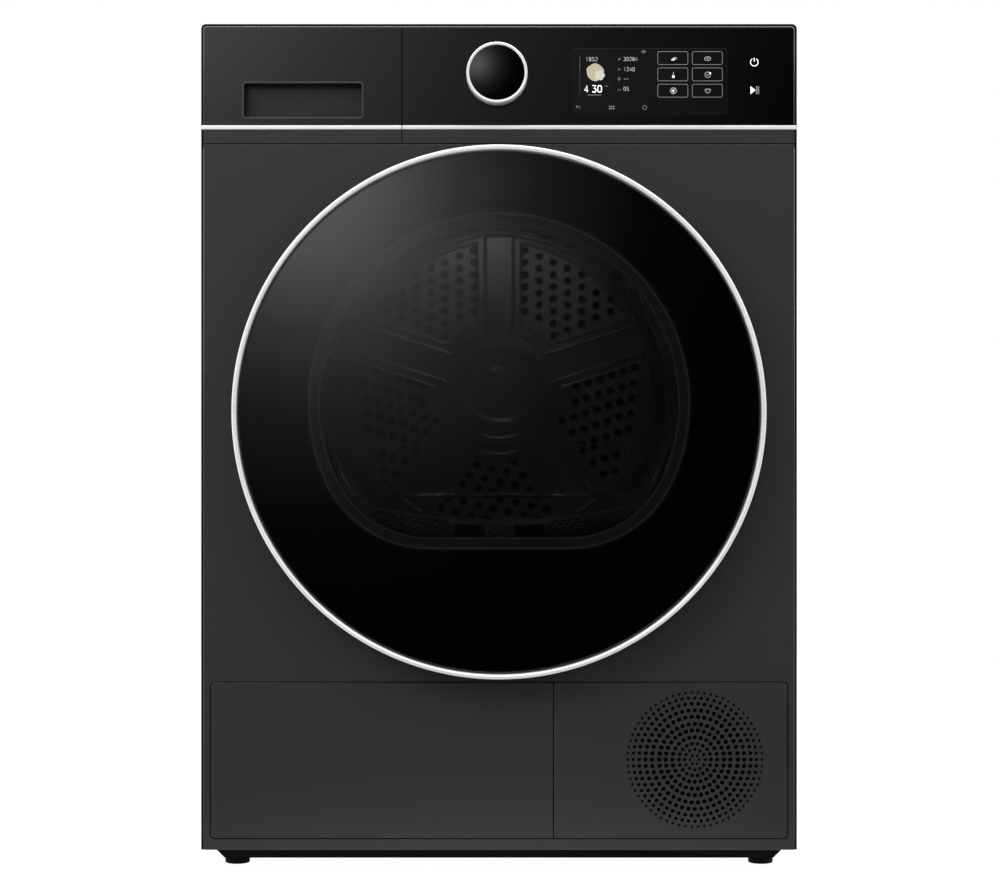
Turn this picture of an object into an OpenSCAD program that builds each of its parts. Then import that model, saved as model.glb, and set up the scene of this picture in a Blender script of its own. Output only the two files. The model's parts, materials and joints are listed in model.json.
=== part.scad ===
// Front-loading heat-pump clothes dryer, millimetres, +Z up, front towards -Y.
// The origin is on the floor, under the middle of the whole appliance.

/* [Cabinet] */
// Overall width of the cabinet
body_w = 595; // [560:1:760]
// Overall height, feet and worktop included
body_h = 845; // [835:1:1020]
// Depth from the front panel to the rear panel
body_d = 597.5; // [585:0.5:760]
// Thickness of the sheet steel
sheet = 1.5; // [1:0.1:2]
// Height of the cabinet's lower edge above the floor
cabinet_z = 20; // [19:0.5:24]
// Corner radius of the worktop and the front face
corner_r = 4; // [2:0.5:8]
// Gap between parts that only lie side by side
gap = 0.3; // [0.2:0.05:0.5]
// Gap of the seams that show on the front
seam = 0.8; // [0.5:0.1:1]
// Width of the folded flanges
flange_w = 20; // [14:1:24]
// Depth of the bulge of the rear duct cover
duct_cover_h = 12.5; // [8:0.5:20]
// Radius of the rear duct opening
duct_r = 170; // [140:1:185]

/* [Worktop] */
// Thickness of the worktop board
board_t = 16; // [12:1:20]
// Height of the worktop's skirt
skirt_h = 28; // [24:1:34]
// Height of the worktop's lip above the control panel
lip_h = 3.5; // [2:0.5:6]
// Wall thickness of the worktop's skirt
skirt_t = 3.5; // [2.5:0.5:4]

/* [Base and feet] */
// Underside of the base tray above the floor
base_z = 8.5; // [8.3:0.1:12]
// Height of the base tray's walls
base_h = 30; // [28:1:40]
// Set-back of the base tray from the front panel
base_setback = 22; // [22:1:30]
// Inset of the base tray from the cabinet's sides
base_inset = 11.5; // [8:0.5:20]
// Wall thickness of the base tray
base_wall = 4; // [3:0.5:6]
// Floor thickness of the base tray
base_floor = 5.5; // [4:0.5:8]
// Diameter of a foot's pad
foot_pad_d = 25; // [20:1:32]
// Height of a foot's pad
foot_pad_h = 8; // [6:0.5:8]
// Diameter of a foot's threaded stud
foot_stud_d = 10; // [8:1:12]
// Radius of the base tray's boss around a foot
foot_boss_r = 11; // [10.5:0.5:14]
// Length of a foot's threaded stud
foot_stud_l = 28; // [22:1:32]
// Distance of a foot from the cabinet's side
foot_in_x = 31.5; // [28:0.5:45]
// Distance of a foot from the front and rear panels
foot_in_y = 46; // [42:1:70]

/* [Control panel] */
// Height of the gloss control panel
fascia_h = 97.1; // [85:0.1:110]
// Thickness of the control panel and the covers beside it
cover_t = 3; // [2:0.5:4]
// Height of the chrome strip
trim_h = 4.2; // [3:0.1:8]
// Height of the painted band under the chrome strip
band_h = 13.5; // [8:0.5:20]
// Set-in of the control panel from the cabinet's sides
fascia_inset = 3; // [2:0.5:6]
// How far the chrome strip stands proud
trim_proud = 1; // [0.5:0.5:2]
// Knob centre, from the cabinet's middle
knob_x = -2; // [-20:1:20]
// Knob centre below the top of the worktop
knob_down = 51; // [45:0.5:56]
// Knob radius
knob_r = 30.5; // [24:0.5:34]
// Knob height
knob_h = 19; // [12:0.5:24]
// Radius of the knob's stem
stem_r = 3; // [2.5:0.5:5]
// Display window: width
display_w = 155.4; // [120:0.1:180]
// Display window: height
display_h = 65.8; // [50:0.1:75]
// Display window: its centre, from the cabinet's middle
display_x = 150.5; // [140:0.5:165]
// Display window: its centre below the top of the worktop
display_down = 57; // [50:0.5:60]

/* [Water tank] */
// Width of the tank drawer's front
tank_front_w = 200.2; // [180:0.1:215]
// Height of the tank
tank_h = 59; // [45:1:62]
// Length of the tank
tank_l = 445; // [350:1:470]
// Wall thickness of the tank and its housing
tank_wall = 2; // [1.5:0.5:3]
// Width of the grip pocket
grip_w = 120; // [90:1:140]
// Height of the grip pocket
grip_h = 36; // [28:1:42]
// Depth of the grip pocket
grip_depth = 16; // [12:0.5:17]
// Grip pocket centre below the top of the worktop
grip_down = 76; // [70:0.5:78]
// Radius of the tank's filling hole
fill_r = 25; // [15:1:30]

/* [Door] */
// How far the door stands proud of the front panel
door_proud = 45; // [42:0.5:50]
// Outer radius of the chrome ring
door_r = 263; // [255:0.5:270]
// Height of the door's centre
door_z = 457; // [450:1:480]
// Width of the chrome ring
ring_w = 5.8; // [5:0.2:7]
// Thickness of the door glass
glass_t = 4; // [3:0.5:5]
// Rise of the glass dome
dome_h = 9.5; // [5:0.5:12]
// Wall thickness of the door's mouldings
door_wall = 3; // [2.5:0.5:4]
// Depth of the inner bowl behind the front panel
bowl_depth = 44; // [36:1:48]
// Thickness of the inner bowl
bowl_t = 4; // [3:0.5:5]
// Distance of the hinge pin from the cabinet's middle
pin_x = 255; // [250:0.5:256]
// Distance of the hinge pin in front of the front panel
pin_out = 18.5; // [18:0.5:20]
// Radius of the hinge pin
pin_r = 4; // [3:0.5:5]
// Running clearance of pins, shafts and bearings
run = 0.05; // [0.03:0.01:0.08]
// Distance of the hinge arms from the door's centre height
arm_z = 45; // [38:1:46]
// Distance of the latch hook from the cabinet's middle
hook_x = 232; // [228:1:236]

/* [Mouth] */
// Radius of the window outline
mouth_r = 191; // [185:0.5:195]
// Height of the window outline's centre
mouth_z = 466; // [455:1:475]
// Distance from that centre down to the flat lower edge
mouth_flat = 146; // [135:0.5:150]
// Radius of the lower corners
mouth_corner = 115; // [90:1:125]
// How much larger the cabinet's mouth is than the window
mouth_margin = 8; // [6:0.5:10]

/* [Drum] */
// Outer radius of the drum
drum_r = 280; // [270:1:281]
// Height of the drum's axis
drum_z = 497.6; // [495:0.1:505]
// Length of the drum
drum_l = 458; // [400:1:460]
// Thickness of the drum's steel
drum_t = 1.2; // [0.8:0.1:1.5]
// Radius of the drum's front opening
drum_mouth_r = 232; // [225:1:240]
// Radius of the flat star plate of the drum's back
star_r = 188; // [170:1:200]
// Depth of the dish of the drum's back
dish_h = 14; // [8:0.5:20]
// Height of a lifter
lifter_h = 42; // [30:1:50]
// Width of a lifter at its foot
lifter_w = 64; // [50:1:80]
// Radius of the drum's shaft
shaft_r = 10; // [8:0.5:14]
// Distance from the front panel to the front bulkhead
bulkhead_y = 63.5; // [60:0.5:66]
// Thickness of the bulkheads
bulkhead_t = 3; // [2:0.5:4]
// Space for the felt seal between bulkhead and drum
seal_t = 8; // [6:0.5:10]
// Radius of a front roller
roller_r = 30; // [24:1:34]
// Space between the drum and the rear bulkhead
rear_space = 18; // [16:0.5:22]
// Angle of a front roller from the drum's lowest point
roller_angle = 35; // [30:1:42]
// Width of a front roller
roller_w = 20; // [14:1:24]
// Radius of a roller's axle
axle_r = 6; // [5:0.5:8]

/* [Drive] */
// Distance of the motor from the right side
motor_in = 107.5; // [100:0.5:115]
// Height of the motor's axis
motor_z = 112; // [108:1:116]
// Radius of the motor
motor_r = 46; // [40:1:50]
// Distance of the belt from the drum's rear end
belt_back = 175; // [165:1:190]
// Width of the belt
belt_w = 9; // [6:1:12]
// Thickness of the belt
belt_t = 2; // [1.5:0.5:3]
// Radius of the motor pulley
pulley_r = 9; // [8:0.5:12]
// Length of the motor
motor_l = 100; // [85:1:104]
// Distance of the motor behind the belt's front edge
motor_back = 25; // [23:0.5:30]
// Radius of the motor shaft
rotor_r = 5; // [4:0.5:6]
// Radius of the process fan
fan_r = 66; // [55:1:70]
// Depth of the process fan
fan_w = 30; // [20:0.5:32]
// Distance of the process fan behind the motor
fan_back = 24; // [22:0.5:26]
// Radius of the idler wheel
idler_r = 16; // [12:1:20]
// Distance of the idler along the belt from the pulley
idler_along = 70; // [60:1:85]

// Distance of the idler arm's pivot from the motor's axis, towards the left
arm_in = 50; // [46:1:54]
// Distance of the idler arm's pivot below the motor's axis
arm_down = 60; // [56:1:62]

/* [Heat pump] */
// Distance of the compressor from the right side
compressor_in = 97.5; // [90:0.5:110]
// Radius of the compressor
compressor_r = 52; // [45:1:58]
// Height of the compressor
compressor_h = 171; // [140:1:180]
// Height of the heat exchangers
exchanger_h = 172; // [150:1:180]
// Width of the heat exchangers
exchanger_w = 276; // [240:1:285]
// Depth of the evaporator
evap_d = 95; // [70:1:100]
// Depth of the condenser
cond_d = 130; // [100:1:140]
// Distance of the evaporator behind the front panel
evap_back = 58; // [56:1:64]
// Space between the two heat exchangers
exchanger_gap = 15; // [10:1:20]
// Distance of the heat exchangers from the base tray's left side
exchanger_in = 28; // [22:1:34]
// Distance of the compressor's axis behind the front panel
compressor_back = 152; // [140:1:160]
// Diameter of the copper pipes
pipe_d = 8; // [6:1:10]
// Diameter of the drain hose
hose_d = 14; // [12:1:16]

/* [Lower panel] */
// Height of the lower panel's lower seam
low_z0 = 30.8; // [29:0.1:34]
// Height of the lower panel's upper seam
low_z1 = 188.2; // [180:0.1:195]
// Border beside the lower panel
low_border = 8.5; // [7:0.5:12]
// Seam between the service flap and the grille, from the middle
split_x = 54.4; // [40:0.1:60]
// Thickness of the flap and the grille
flap_t = 5; // [4:0.5:6]
// Radius of the flap's hinge pins
flap_pin_r = 2; // [1:0.1:2.4]
// Gap around the flap and the grille
low_gap = 1; // [0.9:0.1:1.2]
// Distance of the flap's hinge axis behind the front face
flap_back = 8; // [7.5:0.1:9]
// Height of the flap's hinge axis above the lower seam
flap_up = 13.2; // [13:0.1:14]
// Distance of the round grille from the right side
vent_in = 103.6; // [95:0.1:110]
// Height of the round grille's centre
vent_z = 110.2; // [109:0.1:114]
// Radius of the cooling fan
cooling_r = 62; // [50:1:64]

/* [Lint filter] */
// Width of the filter's cap
filter_w = 276; // [240:1:290]
// Width of the filter's body
filter_body_w = 232; // [200:1:236]
// Height of the filter's body
filter_body_h = 84; // [60:1:95]
// Thickness of the filter's body
filter_body_t = 34; // [24:1:36]
// Travel of the filter under the shut door
filter_travel = 35; // [25:1:36]
// Radius of the cap's hollow
filter_arc_r = 640; // [500:1:800]

/* [Hidden] */
$fn = 96;

body_grey = [0.24, 0.24, 0.245];
gloss_black = [0.06, 0.06, 0.065];
chrome = [0.86, 0.86, 0.87];
steel = [0.70, 0.71, 0.72];
galvanised = [0.62, 0.64, 0.65];
dark_plastic = [0.10, 0.10, 0.11];
light_plastic = [0.80, 0.80, 0.79];
copper = [0.72, 0.42, 0.25];
felt_grey = [0.45, 0.44, 0.42];

hw = body_w / 2;
total_d = door_proud + body_d + duct_cover_h;
y_face = door_proud - total_d / 2;
y_back = y_face + body_d;

// Levels of the control panel, from the worktop down
z_lip = body_h - lip_h;
z_skirt = body_h - skirt_h;
z_board = body_h - board_t;
z_fascia = z_lip - gap - fascia_h;
z_trim = z_fascia - gap - trim_h;
z_band = z_trim - gap - band_h;
fascia_x1 = hw - fascia_inset;
edge_back = 0.2;
tank_x1 = tank_front_w - hw;
knob_z = body_h - knob_down;
display_z = body_h - display_down;
grip_z = body_h - grip_down;
grip_x = (tank_x1 - hw + fascia_inset) / 2;

// Bulkheads and drum along Y
y_bulk = y_face + bulkhead_y;
y_drum = y_bulk + bulkhead_t + seal_t;
y_drum_end = y_drum + drum_l;
y_rear = y_drum_end + rear_space;
y_belt = y_drum_end - belt_back;

// Base and what stands on it
z_tray = base_z + base_floor;
z_base_top = base_z + base_h;
base_y0 = y_face + base_setback;
base_y1 = y_back - 6;
base_x = hw - base_inset;
foot_x = hw - foot_in_x;
foot_y0 = y_face + foot_in_y;
foot_y1 = y_back - foot_in_y;
motor_x = hw - motor_in;
compressor_x = hw - compressor_in;
compressor_y = y_face + compressor_back;
vent_x = hw - vent_in;
exchanger_x0 = -base_x + exchanger_in;

// Belt: straight runs touch both circles
belt_gap = gap;
belt_dx = motor_x;
belt_dz = motor_z - drum_z;
belt_dist = norm([belt_dx, belt_dz]);
belt_dir = atan2(belt_dz, belt_dx);
belt_turn = acos((drum_r - pulley_r) / belt_dist);
function belt_point(center, r, angle) = center + r * [cos(angle), sin(angle)];
belt_low = belt_dir - belt_turn;
idler_normal = [cos(belt_low), sin(belt_low)];
idler_run = [sin(belt_low), -cos(belt_low)];
idler_pos = [motor_x, motor_z] + (pulley_r + belt_gap + belt_t + gap + idler_r) * idler_normal
            + idler_along * idler_run;
arm_pivot = [motor_x - arm_in, motor_z - arm_down];
arm_pin_r = 4;

// Window outline: a large circle, a flat lower edge and two tangent corner circles
corner_x = sqrt((mouth_r - mouth_flat) * (mouth_r + mouth_flat - 2 * mouth_corner));
corner_drop = mouth_flat - mouth_corner;

// Door along Y, from the glass back to the panel
y_crown = y_face - door_proud;
y_glass = y_crown + dome_h;
door_y0 = y_glass;
door_y1 = y_face - 1.5;
ring_r0 = door_r - ring_w;
glass_r = ring_r0 - gap;
rim_r = door_r - 1.5;
rim_wall = 9;
mask_t = 3;
y_mask = y_glass + glass_t + gap;
pin_y = y_face - pin_out;
barrel_r = 6.5;
arm_t = 6;
arm_w = 10;
dome_r = (glass_r * glass_r + dome_h * dome_h) / (2 * dome_h);
function dome_y(r) = y_crown + dome_r - sqrt(dome_r * dome_r - r * r);
dome_steps = 10;
function dome_point(i, t) = [glass_r * i / dome_steps, dome_y(glass_r * i / dome_steps) + t];

// Lint filter
filter_y0 = y_face + 11.5;
filter_y1 = y_bulk - 4;
filter_z = mouth_z - mouth_flat - mouth_margin;
filter_tilt = 23.5;
filter_lip = 15.5;
// Highest point of the cap's front edge, at its sides
filter_top = filter_z + filter_lip + filter_w * filter_w / 8 / filter_arc_r;

module box(lo, hi) {
    translate(lo) cube(hi - lo);
}

// A flat shape in X and Z, from y0 to y1
module along_y(y0, y1) {
    translate([0, y1, 0]) rotate([90, 0, 0]) linear_extrude(y1 - y0) children();
}

// A flat shape in Y and Z, from x0 to x1
module along_x(x0, x1) {
    translate([x0, 0, 0]) rotate([90, 0, 90]) linear_extrude(x1 - x0) children();
}

// A round bar along Y
module rod_y(x, z, r, y0, y1) {
    translate([x, y0, z]) rotate([-90, 0, 0]) cylinder(r = r, h = y1 - y0);
}

// A profile of radius and Y, turned about an axis along Y
module turned_y(x, z) {
    translate([x, 0, z]) rotate([-90, 0, 0]) rotate_extrude($fn = 180) children();
}

module rounded(x0, z0, x1, z1, r) {
    translate([x0 + r, z0]) square([x1 - x0 - 2 * r, z1 - z0]);
    translate([x0, z0 + r]) square([x1 - x0, z1 - z0 - 2 * r]);
    for (x = [x0 + r, x1 - r], z = [z0 + r, z1 - r]) translate([x, z]) circle(r = r, $fn = 32);
}

// Points of an arc in X and Z, without its last one
function arc(center, r, a0, a1, steps) =
    [for (i = [0 : steps - 1]) let (a = a0 + (a1 - a0) * i / steps) center + r * [cos(a), sin(a)]];

// The window outline, made smaller by inset on every side
module outline(inset) {
    tilt = atan2(corner_drop, corner_x);
    z0 = mouth_z - corner_drop;
    polygon(concat(arc([0, mouth_z], mouth_r - inset, -tilt, 180 + tilt, 84),
                   arc([-corner_x, z0], mouth_corner - inset, 180 + tilt, 270, 20),
                   [[-corner_x, mouth_z - mouth_flat + inset]],
                   arc([corner_x, z0], mouth_corner - inset, 270, 360 - tilt, 20)));
}

// A bent tube through the given points
module pipe_run(points, d) {
    for (i = [0 : len(points) - 2]) {
        a = points[i];
        b = points[i + 1];
        step = b - a;
        translate(a)
            rotate([0, acos(step[2] / norm(step)), atan2(step[1], step[0])])
                cylinder(d = d, h = norm(step), $fn = 32);
    }
    for (i = [1 : 1 : len(points) - 2]) translate(points[i]) sphere(d = d, $fn = 32);
}

// ---- Cabinet ----

module base_tray() {
    z1 = z_base_top;
    post_x0 = arm_pivot[0] - 9;
    post_x1 = arm_pivot[0] + 9;
    post_y0 = y_belt + 18;
    post_y1 = y_belt + 26;
    color(dark_plastic) difference() {
        along_y(base_y0, base_y1)
            polygon([[-base_x + 9.5, base_z], [base_x - 9.5, base_z], [base_x, cabinet_z - 2],
                     [base_x, z1], [-base_x, z1], [-base_x, cabinet_z - 2]]);
        difference() {
            box([-base_x + base_wall + 6, base_y0 + base_wall, z_tray],
                [base_x - base_wall - 6, base_y1 - base_wall, z1 + 1]);
            for (x = [-foot_x, foot_x], y = [foot_y0, foot_y1])
                translate([x, y, base_z]) cylinder(r = foot_boss_r, h = base_h, $fn = 48);
            // Post that carries the idler arm
            box([post_x0, post_y0, base_z], [post_x1, post_y1, z1]);
        }
        for (x = [-foot_x, foot_x], y = [foot_y0, foot_y1])
            translate([x, y, 0]) cylinder(r = foot_stud_d / 2 + run, h = z1 + 1, $fn = 48);
    }
    // The post's upper part with the arm's pin
    color(dark_plastic) {
        box([post_x0, post_y0, z1], [post_x1, post_y1, arm_pivot[1] + 9]);
        rod_y(arm_pivot[0], arm_pivot[1], arm_pin_r, y_belt + 6, post_y0);
    }
}

module foot(x, y) {
    color(dark_plastic) translate([x, y, 0]) {
        cylinder(d = foot_pad_d, h = foot_pad_h, $fn = 48);
        cylinder(d = foot_stud_d, h = foot_pad_h + foot_stud_l, $fn = 48);
    }
}

screw_z = [for (i = [0 : 4]) 60 + i * (z_skirt - 90) / 4];

// Side panel; side is -1 on the left and 1 on the right
module side_panel(side) {
    x0 = hw - sheet;
    y0 = y_face + sheet + gap;
    y1 = y_back - sheet - gap;
    z1 = z_skirt - gap;
    color(body_grey) mirror([side < 0 ? 1 : 0, 0, 0]) difference() {
        union() {
            box([x0, y0, cabinet_z], [hw, y_back, z1]);
            // Rear flange
            box([hw - sheet - flange_w, y1 - sheet, cabinet_z], [hw, y1, z1]);
            // Lower and upper flanges
            box([hw - base_inset + gap, y0 + 20, cabinet_z], [hw, y1, cabinet_z + sheet]);
            box([hw - sheet - flange_w, base_y0, z1 - sheet], [hw, y1, z1]);
            // Thick front edge beside the control panel
            box([fascia_x1 + gap, y_face + edge_back, z_fascia], [hw, y_face + 20, z1]);
        }
        if (side < 0) box([hw - sheet - 30, y_face, z_tank - 1], [x0, y_back - 40, z1 + 1]);
        for (z = screw_z) rod_y(hw - 12, z, 2.1, y1 - 5, y1 + 1);
        // The chrome strip and the band pass in front of the side
        box([0, y_face - 1, z_band - gap], [hw + 1, y_face + cover_t + gap, z_fascia - gap]);
    }
}
module left_side_panel() { side_panel(-1); }
module right_side_panel() { side_panel(1); }

module rear_panel() {
    x = hw - sheet - gap;
    color(body_grey) difference() {
        box([-x, y_back - sheet, cabinet_z], [x, y_back, z_skirt - gap]);
        rod_y(0, drum_z, duct_r, y_back - 5, y_back + 5);
        for (s = [-1, 1], z = screw_z) rod_y(s * (hw - 12), z, 2.1, y_back - 5, y_back + 5);
        // Air slots beside the machine space
        for (z = [70 : 11 : 147]) box([motor_x - 45, y_back - 5, z], [motor_x + 45, y_back + 5, z + 5]);
        rod_y(gland_x, gland_z, gland_r + gap, y_back - 5, y_back + 5);
        rod_y(spigot_x, spigot_z, spigot_r + gap, y_back - 5, y_back + 5);
    }
}

module rear_duct_cover() {
    t = sheet;
    h = duct_cover_h;
    color(body_grey) turned_y(0, drum_z)
        polygon([[0, y_back + h - t], [duct_r - 15, y_back + h - t], [duct_r - 3, y_back],
                 [duct_r + 25, y_back], [duct_r + 25, y_back + t], [duct_r - 1.5, y_back + t],
                 [duct_r - 14, y_back + h], [0, y_back + h]]);
}

module worktop() {
    color(body_grey) difference() {
        along_y(y_face + 1, y_back) {
            rounded(-hw, z_skirt, hw, body_h, corner_r);
            translate([-hw, z_skirt]) square([body_w, corner_r + 1]);
        }
        // Place of the control panel
        box([-fascia_x1 - gap, y_face - 1, z_skirt - 1], [fascia_x1 + gap, y_face + 20, z_lip]);
        // Hollow under the board
        box([skirt_t - hw, y_face + 19, z_skirt - 1], [hw - skirt_t, y_back - skirt_t, z_board]);
    }
}

module front_panel() {
    z1 = z_band - seam;
    x_in = hw - sheet - gap;
    lx = hw - low_border;
    color(body_grey) difference() {
        union() {
            along_y(y_face, y_face + sheet) rounded(-hw, cabinet_z, hw, z1, corner_r);
            for (s = [-1, 1]) box([s > 0 ? x_in - sheet : -x_in, y_face + sheet / 2, cabinet_z + 5],
                                  [s > 0 ? x_in : sheet - x_in, y_face + 18, z1]);
            box([-x_in, y_face + sheet / 2, z1 - sheet], [x_in, y_face + 18, z1]);
            // Ear that holds the service flap's left pin
            box([-x_in, y_face + sheet / 2, flap_z - 4], [-lx - gap, y_face + flap_back + 4, flap_z + 4]);
        }
        along_y(y_face - 1, y_face + 5) rounded(-lx, low_z0, lx, low_z1, 5);
        along_y(y_face - 1, y_face + 5) outline(-mouth_margin - 4);
        for (s = [-1, 1]) box([pin_x - arm_w / 2 - 0.8, y_face - 1, door_z + s * arm_z - arm_t / 2 - 0.6],
                              [pin_x + arm_w / 2 + 0.8, y_face + 5, door_z + s * arm_z + arm_t / 2 + 0.6]);
        box([-hook_x - 8, y_face - 1, door_z - 8], [-hook_x + 7, y_face + 5, door_z + 12]);
        translate([-lx - 5, flap_y, flap_z]) rotate([0, 90, 0])
            cylinder(r = flap_pin_r + run, h = 20, $fn = 32);
    }
}

// ---- Bulkheads ----

module roller_place(side) {
    reach = drum_r + gap + roller_r;
    translate([side * reach * sin(roller_angle), 0, drum_z - reach * cos(roller_angle)]) children();
}

module front_shield() {
    z0 = drum_z - drum_r - 20;
    z1 = z_band - 6;
    x = hw - 4;
    duct_x = filter_body_w / 2 + 4;
    color(light_plastic) difference() {
        union() {
            along_y(y_bulk, y_bulk + bulkhead_t) rounded(-x, z0, x, z1, 10);
            along_y(y_face + sheet + gap, y_bulk + 1) outline(-mouth_margin - 3);
            // Duct that the lint filter drops into
            box([-duct_x, filter_y0 - 4, z0], [duct_x, y_bulk + 1, filter_z]);
            for (s = [-1, 1]) roller_place(s) rod_y(0, 0, axle_r, y_bulk, y_drum + 8 + roller_w);
            for (s = [-1, 1]) roller_place(s) rod_y(0, 0, axle_r + 8, y_bulk, y_drum + 4);
        }
        along_y(y_face - 1, y_bulk + 10) outline(-mouth_margin);
        box([-duct_x + 3, filter_y0 - 1, z0 - 1], [duct_x - 3, y_bulk - 2, filter_z + 12]);
    }
}

module rear_shield() {
    x = hw - 29.5;
    z1 = z_band + 30;
    t = bulkhead_t;
    color(galvanised) difference() {
        union() {
            along_y(y_rear, y_rear + t) rounded(-x, drum_z - drum_r - 25, x, z1, 20);
            // Leg down to the base
            box([-60, y_rear, z_tray], [40, y_rear + t, drum_z - drum_r]);
            // Bearing housing
            rod_y(0, drum_z, shaft_r + 16, y_rear - 6, y_rear + 24);
        }
        rod_y(0, drum_z, shaft_r + run, y_rear - 20, y_rear + 40);
        // Inlets for the process air
        for (a = [0 : 45 : 315]) rotate_about_y(a, drum_z)
            along_y(y_rear - 1, y_rear + 10) rounded(70, drum_z - 22, 150, drum_z + 22, 12);
    }
}

module rotate_about_y(a, z) {
    translate([0, 0, z]) rotate([0, a, 0]) translate([0, 0, -z]) children();
}

module felt_seal() {
    color(felt_grey) turned_y(0, drum_z)
        translate([drum_mouth_r + 6, y_bulk + bulkhead_t]) square([16, seal_t - gap]);
}

// ---- Control panel ----

module control_fascia() {
    z1 = z_lip - gap;
    x0 = tank_x1 + seam;
    color(gloss_black) difference() {
        box([x0, y_face, z_fascia], [fascia_x1, y_face + 15, z1]);
        box([x0 + cover_t, y_face + cover_t, z_fascia + cover_t],
            [fascia_x1 - cover_t, y_face + 16, z1 - cover_t]);
        along_y(y_face - 1, y_face + 10)
            rounded(display_x - display_w / 2, display_z - display_h / 2, display_x + display_w / 2,
                    display_z + display_h / 2, 1.5);
        rod_y(knob_x, knob_z, 8, y_face - 1, y_face + 10);
    }
}

module display_window() {
    e = gap;
    color([0.09, 0.09, 0.10]) along_y(y_face, y_face + cover_t)
        rounded(display_x - display_w / 2 + e, display_z - display_h / 2 + e,
                display_x + display_w / 2 - e, display_z + display_h / 2 - e, 1.2);
}

module strip(x0, x1) {
    color(chrome) along_x(x0, x1) {
        translate([y_face, z_trim]) square([cover_t, trim_h]);
        translate([y_face - trim_proud, z_trim + 1]) square([2, trim_h - 2]);
        for (z = [z_trim + 1, z_trim + trim_h - 1]) translate([y_face, z]) circle(r = 1, $fn = 32);
    }
}

module control_trim() { strip(tank_x1 + seam, hw - 2 * edge_back); }
module control_band() {
    color(body_grey) {
        box([tank_x1 + seam, y_face, z_band], [hw - edge_back, y_face + cover_t, z_band + band_h]);
        box([tank_x1 + seam, y_face, z_band + band_h - 2], [fascia_x1, y_face + 16, z_band + band_h]);
    }
}

module control_board() {
    y_pcb = y_face + 12;
    color([0.10, 0.35, 0.20]) {
        difference() {
            union() {
                box([-80, y_pcb, z_fascia + 8], [fascia_x1 - 14, y_pcb + 2, z_board - 3]);
                for (x = [-70, 60, fascia_x1 - 24], z = [z_fascia + 14, z_board - 9])
                    rod_y(x, z, 3, y_face + cover_t, y_pcb + 1);
                // Encoder of the knob
                rod_y(knob_x, knob_z, 7, y_face + cover_t + 1, y_pcb + 1);
            }
            rod_y(knob_x, knob_z, stem_r + run, y_face, y_pcb + 1);
        }
    }
}

module knob() {
    color(chrome) turned_y(knob_x, knob_z)
        polygon([[0, y_face - knob_h], [knob_r - 4.5, y_face - knob_h], [knob_r - 1.5, y_face - knob_h + 1],
                 [knob_r, y_face - knob_h + 4], [knob_r, y_face - 0.6], [knob_r - 4, y_face - 0.6],
                 [knob_r - 4, y_face - knob_h + 6], [stem_r, y_face - knob_h + 6],
                 [stem_r, y_face + 11], [0, y_face + 11]]);
}

// ---- Water tank ----

tank_y0 = y_face + 20.5;
z_tank = z_board - 4 - tank_h;
housing_x0 = skirt_t + gap - hw;
housing_x1 = tank_x1 - 3.5;
tank_bx0 = housing_x0 + tank_wall + gap;
tank_bx1 = housing_x1 - tank_wall - gap;

module tank_housing() {
    w = tank_wall;
    color(light_plastic) difference() {
        box([housing_x0, tank_y0, z_tank - gap - w], [housing_x1, tank_y0 + tank_l + 10, z_board - gap]);
        box([housing_x0 + w, tank_y0 - 1, z_tank - gap],
            [housing_x1 - w, tank_y0 + tank_l + 10 - w, z_board]);
    }
}

module tank_body() {
    w = tank_wall;
    color([0.75, 0.77, 0.78]) difference() {
        box([tank_bx0, tank_y0, z_tank], [tank_bx1, tank_y0 + tank_l, z_tank + tank_h]);
        box([tank_bx0 + w, tank_y0 + w, z_tank + w],
            [tank_bx1 - w, tank_y0 + tank_l - w, z_tank + tank_h - w]);
        translate([(tank_bx0 + tank_bx1) / 2, tank_y0 + tank_l - 60, z_tank])
            cylinder(r = fill_r, h = 2 * tank_h);
    }
}

module tank_front() {
    x0 = -fascia_x1;
    x1 = tank_x1;
    z1 = z_lip - gap;
    color(gloss_black) difference() {
        union() {
            box([x0, y_face, z_fascia], [x1, y_face + cover_t, z1]);
            along_y(y_face, y_face + grip_depth + 2.5)
                rounded(grip_x - grip_w / 2 - 2.5, grip_z - grip_h / 2 - 2.5,
                        grip_x + grip_w / 2 + 2.5, grip_z + grip_h / 2 + 2.5, 5);
            // Brackets to the tank
            for (x = [tank_bx0 + 8, tank_bx1 - 20])
                box([x, y_face + 1, z_tank + 6], [x + 12, tank_y0, z_tank + tank_h - 6]);
        }
        along_y(y_face - 1, y_face + grip_depth)
            rounded(grip_x - grip_w / 2, grip_z - grip_h / 2, grip_x + grip_w / 2, grip_z + grip_h / 2, 3);
    }
    color(body_grey) {
        box([edge_back - hw, y_face, z_band], [x1, y_face + cover_t, z_band + band_h]);
        // Web behind the chrome strip, joined to the band and the front
        box([x0, y_face + cover_t + gap, z_band], [x1, y_face + 6, z_fascia + 6]);
        box([x0, y_face + 1, z_band], [x1, y_face + 6, z_band + 6]);
        box([x0, y_face + 1, z_fascia + 1], [x1, y_face + 6, z_fascia + 6]);
    }
}
module tank_trim() { strip(2 * edge_back - hw, tank_x1); }

// ---- Drum, rollers and drive ----

module drum_shell() {
    r = drum_r;
    t = drum_t;
    color(steel) turned_y(0, drum_z)
        polygon([[r, y_drum], [r, y_drum_end], [r - t, y_drum_end], [r - t, y_drum + t],
                 [drum_mouth_r + 4, y_drum + t], [drum_mouth_r + 4, y_drum + 5],
                 [drum_mouth_r, y_drum + 5], [drum_mouth_r, y_drum]]);
}

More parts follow.
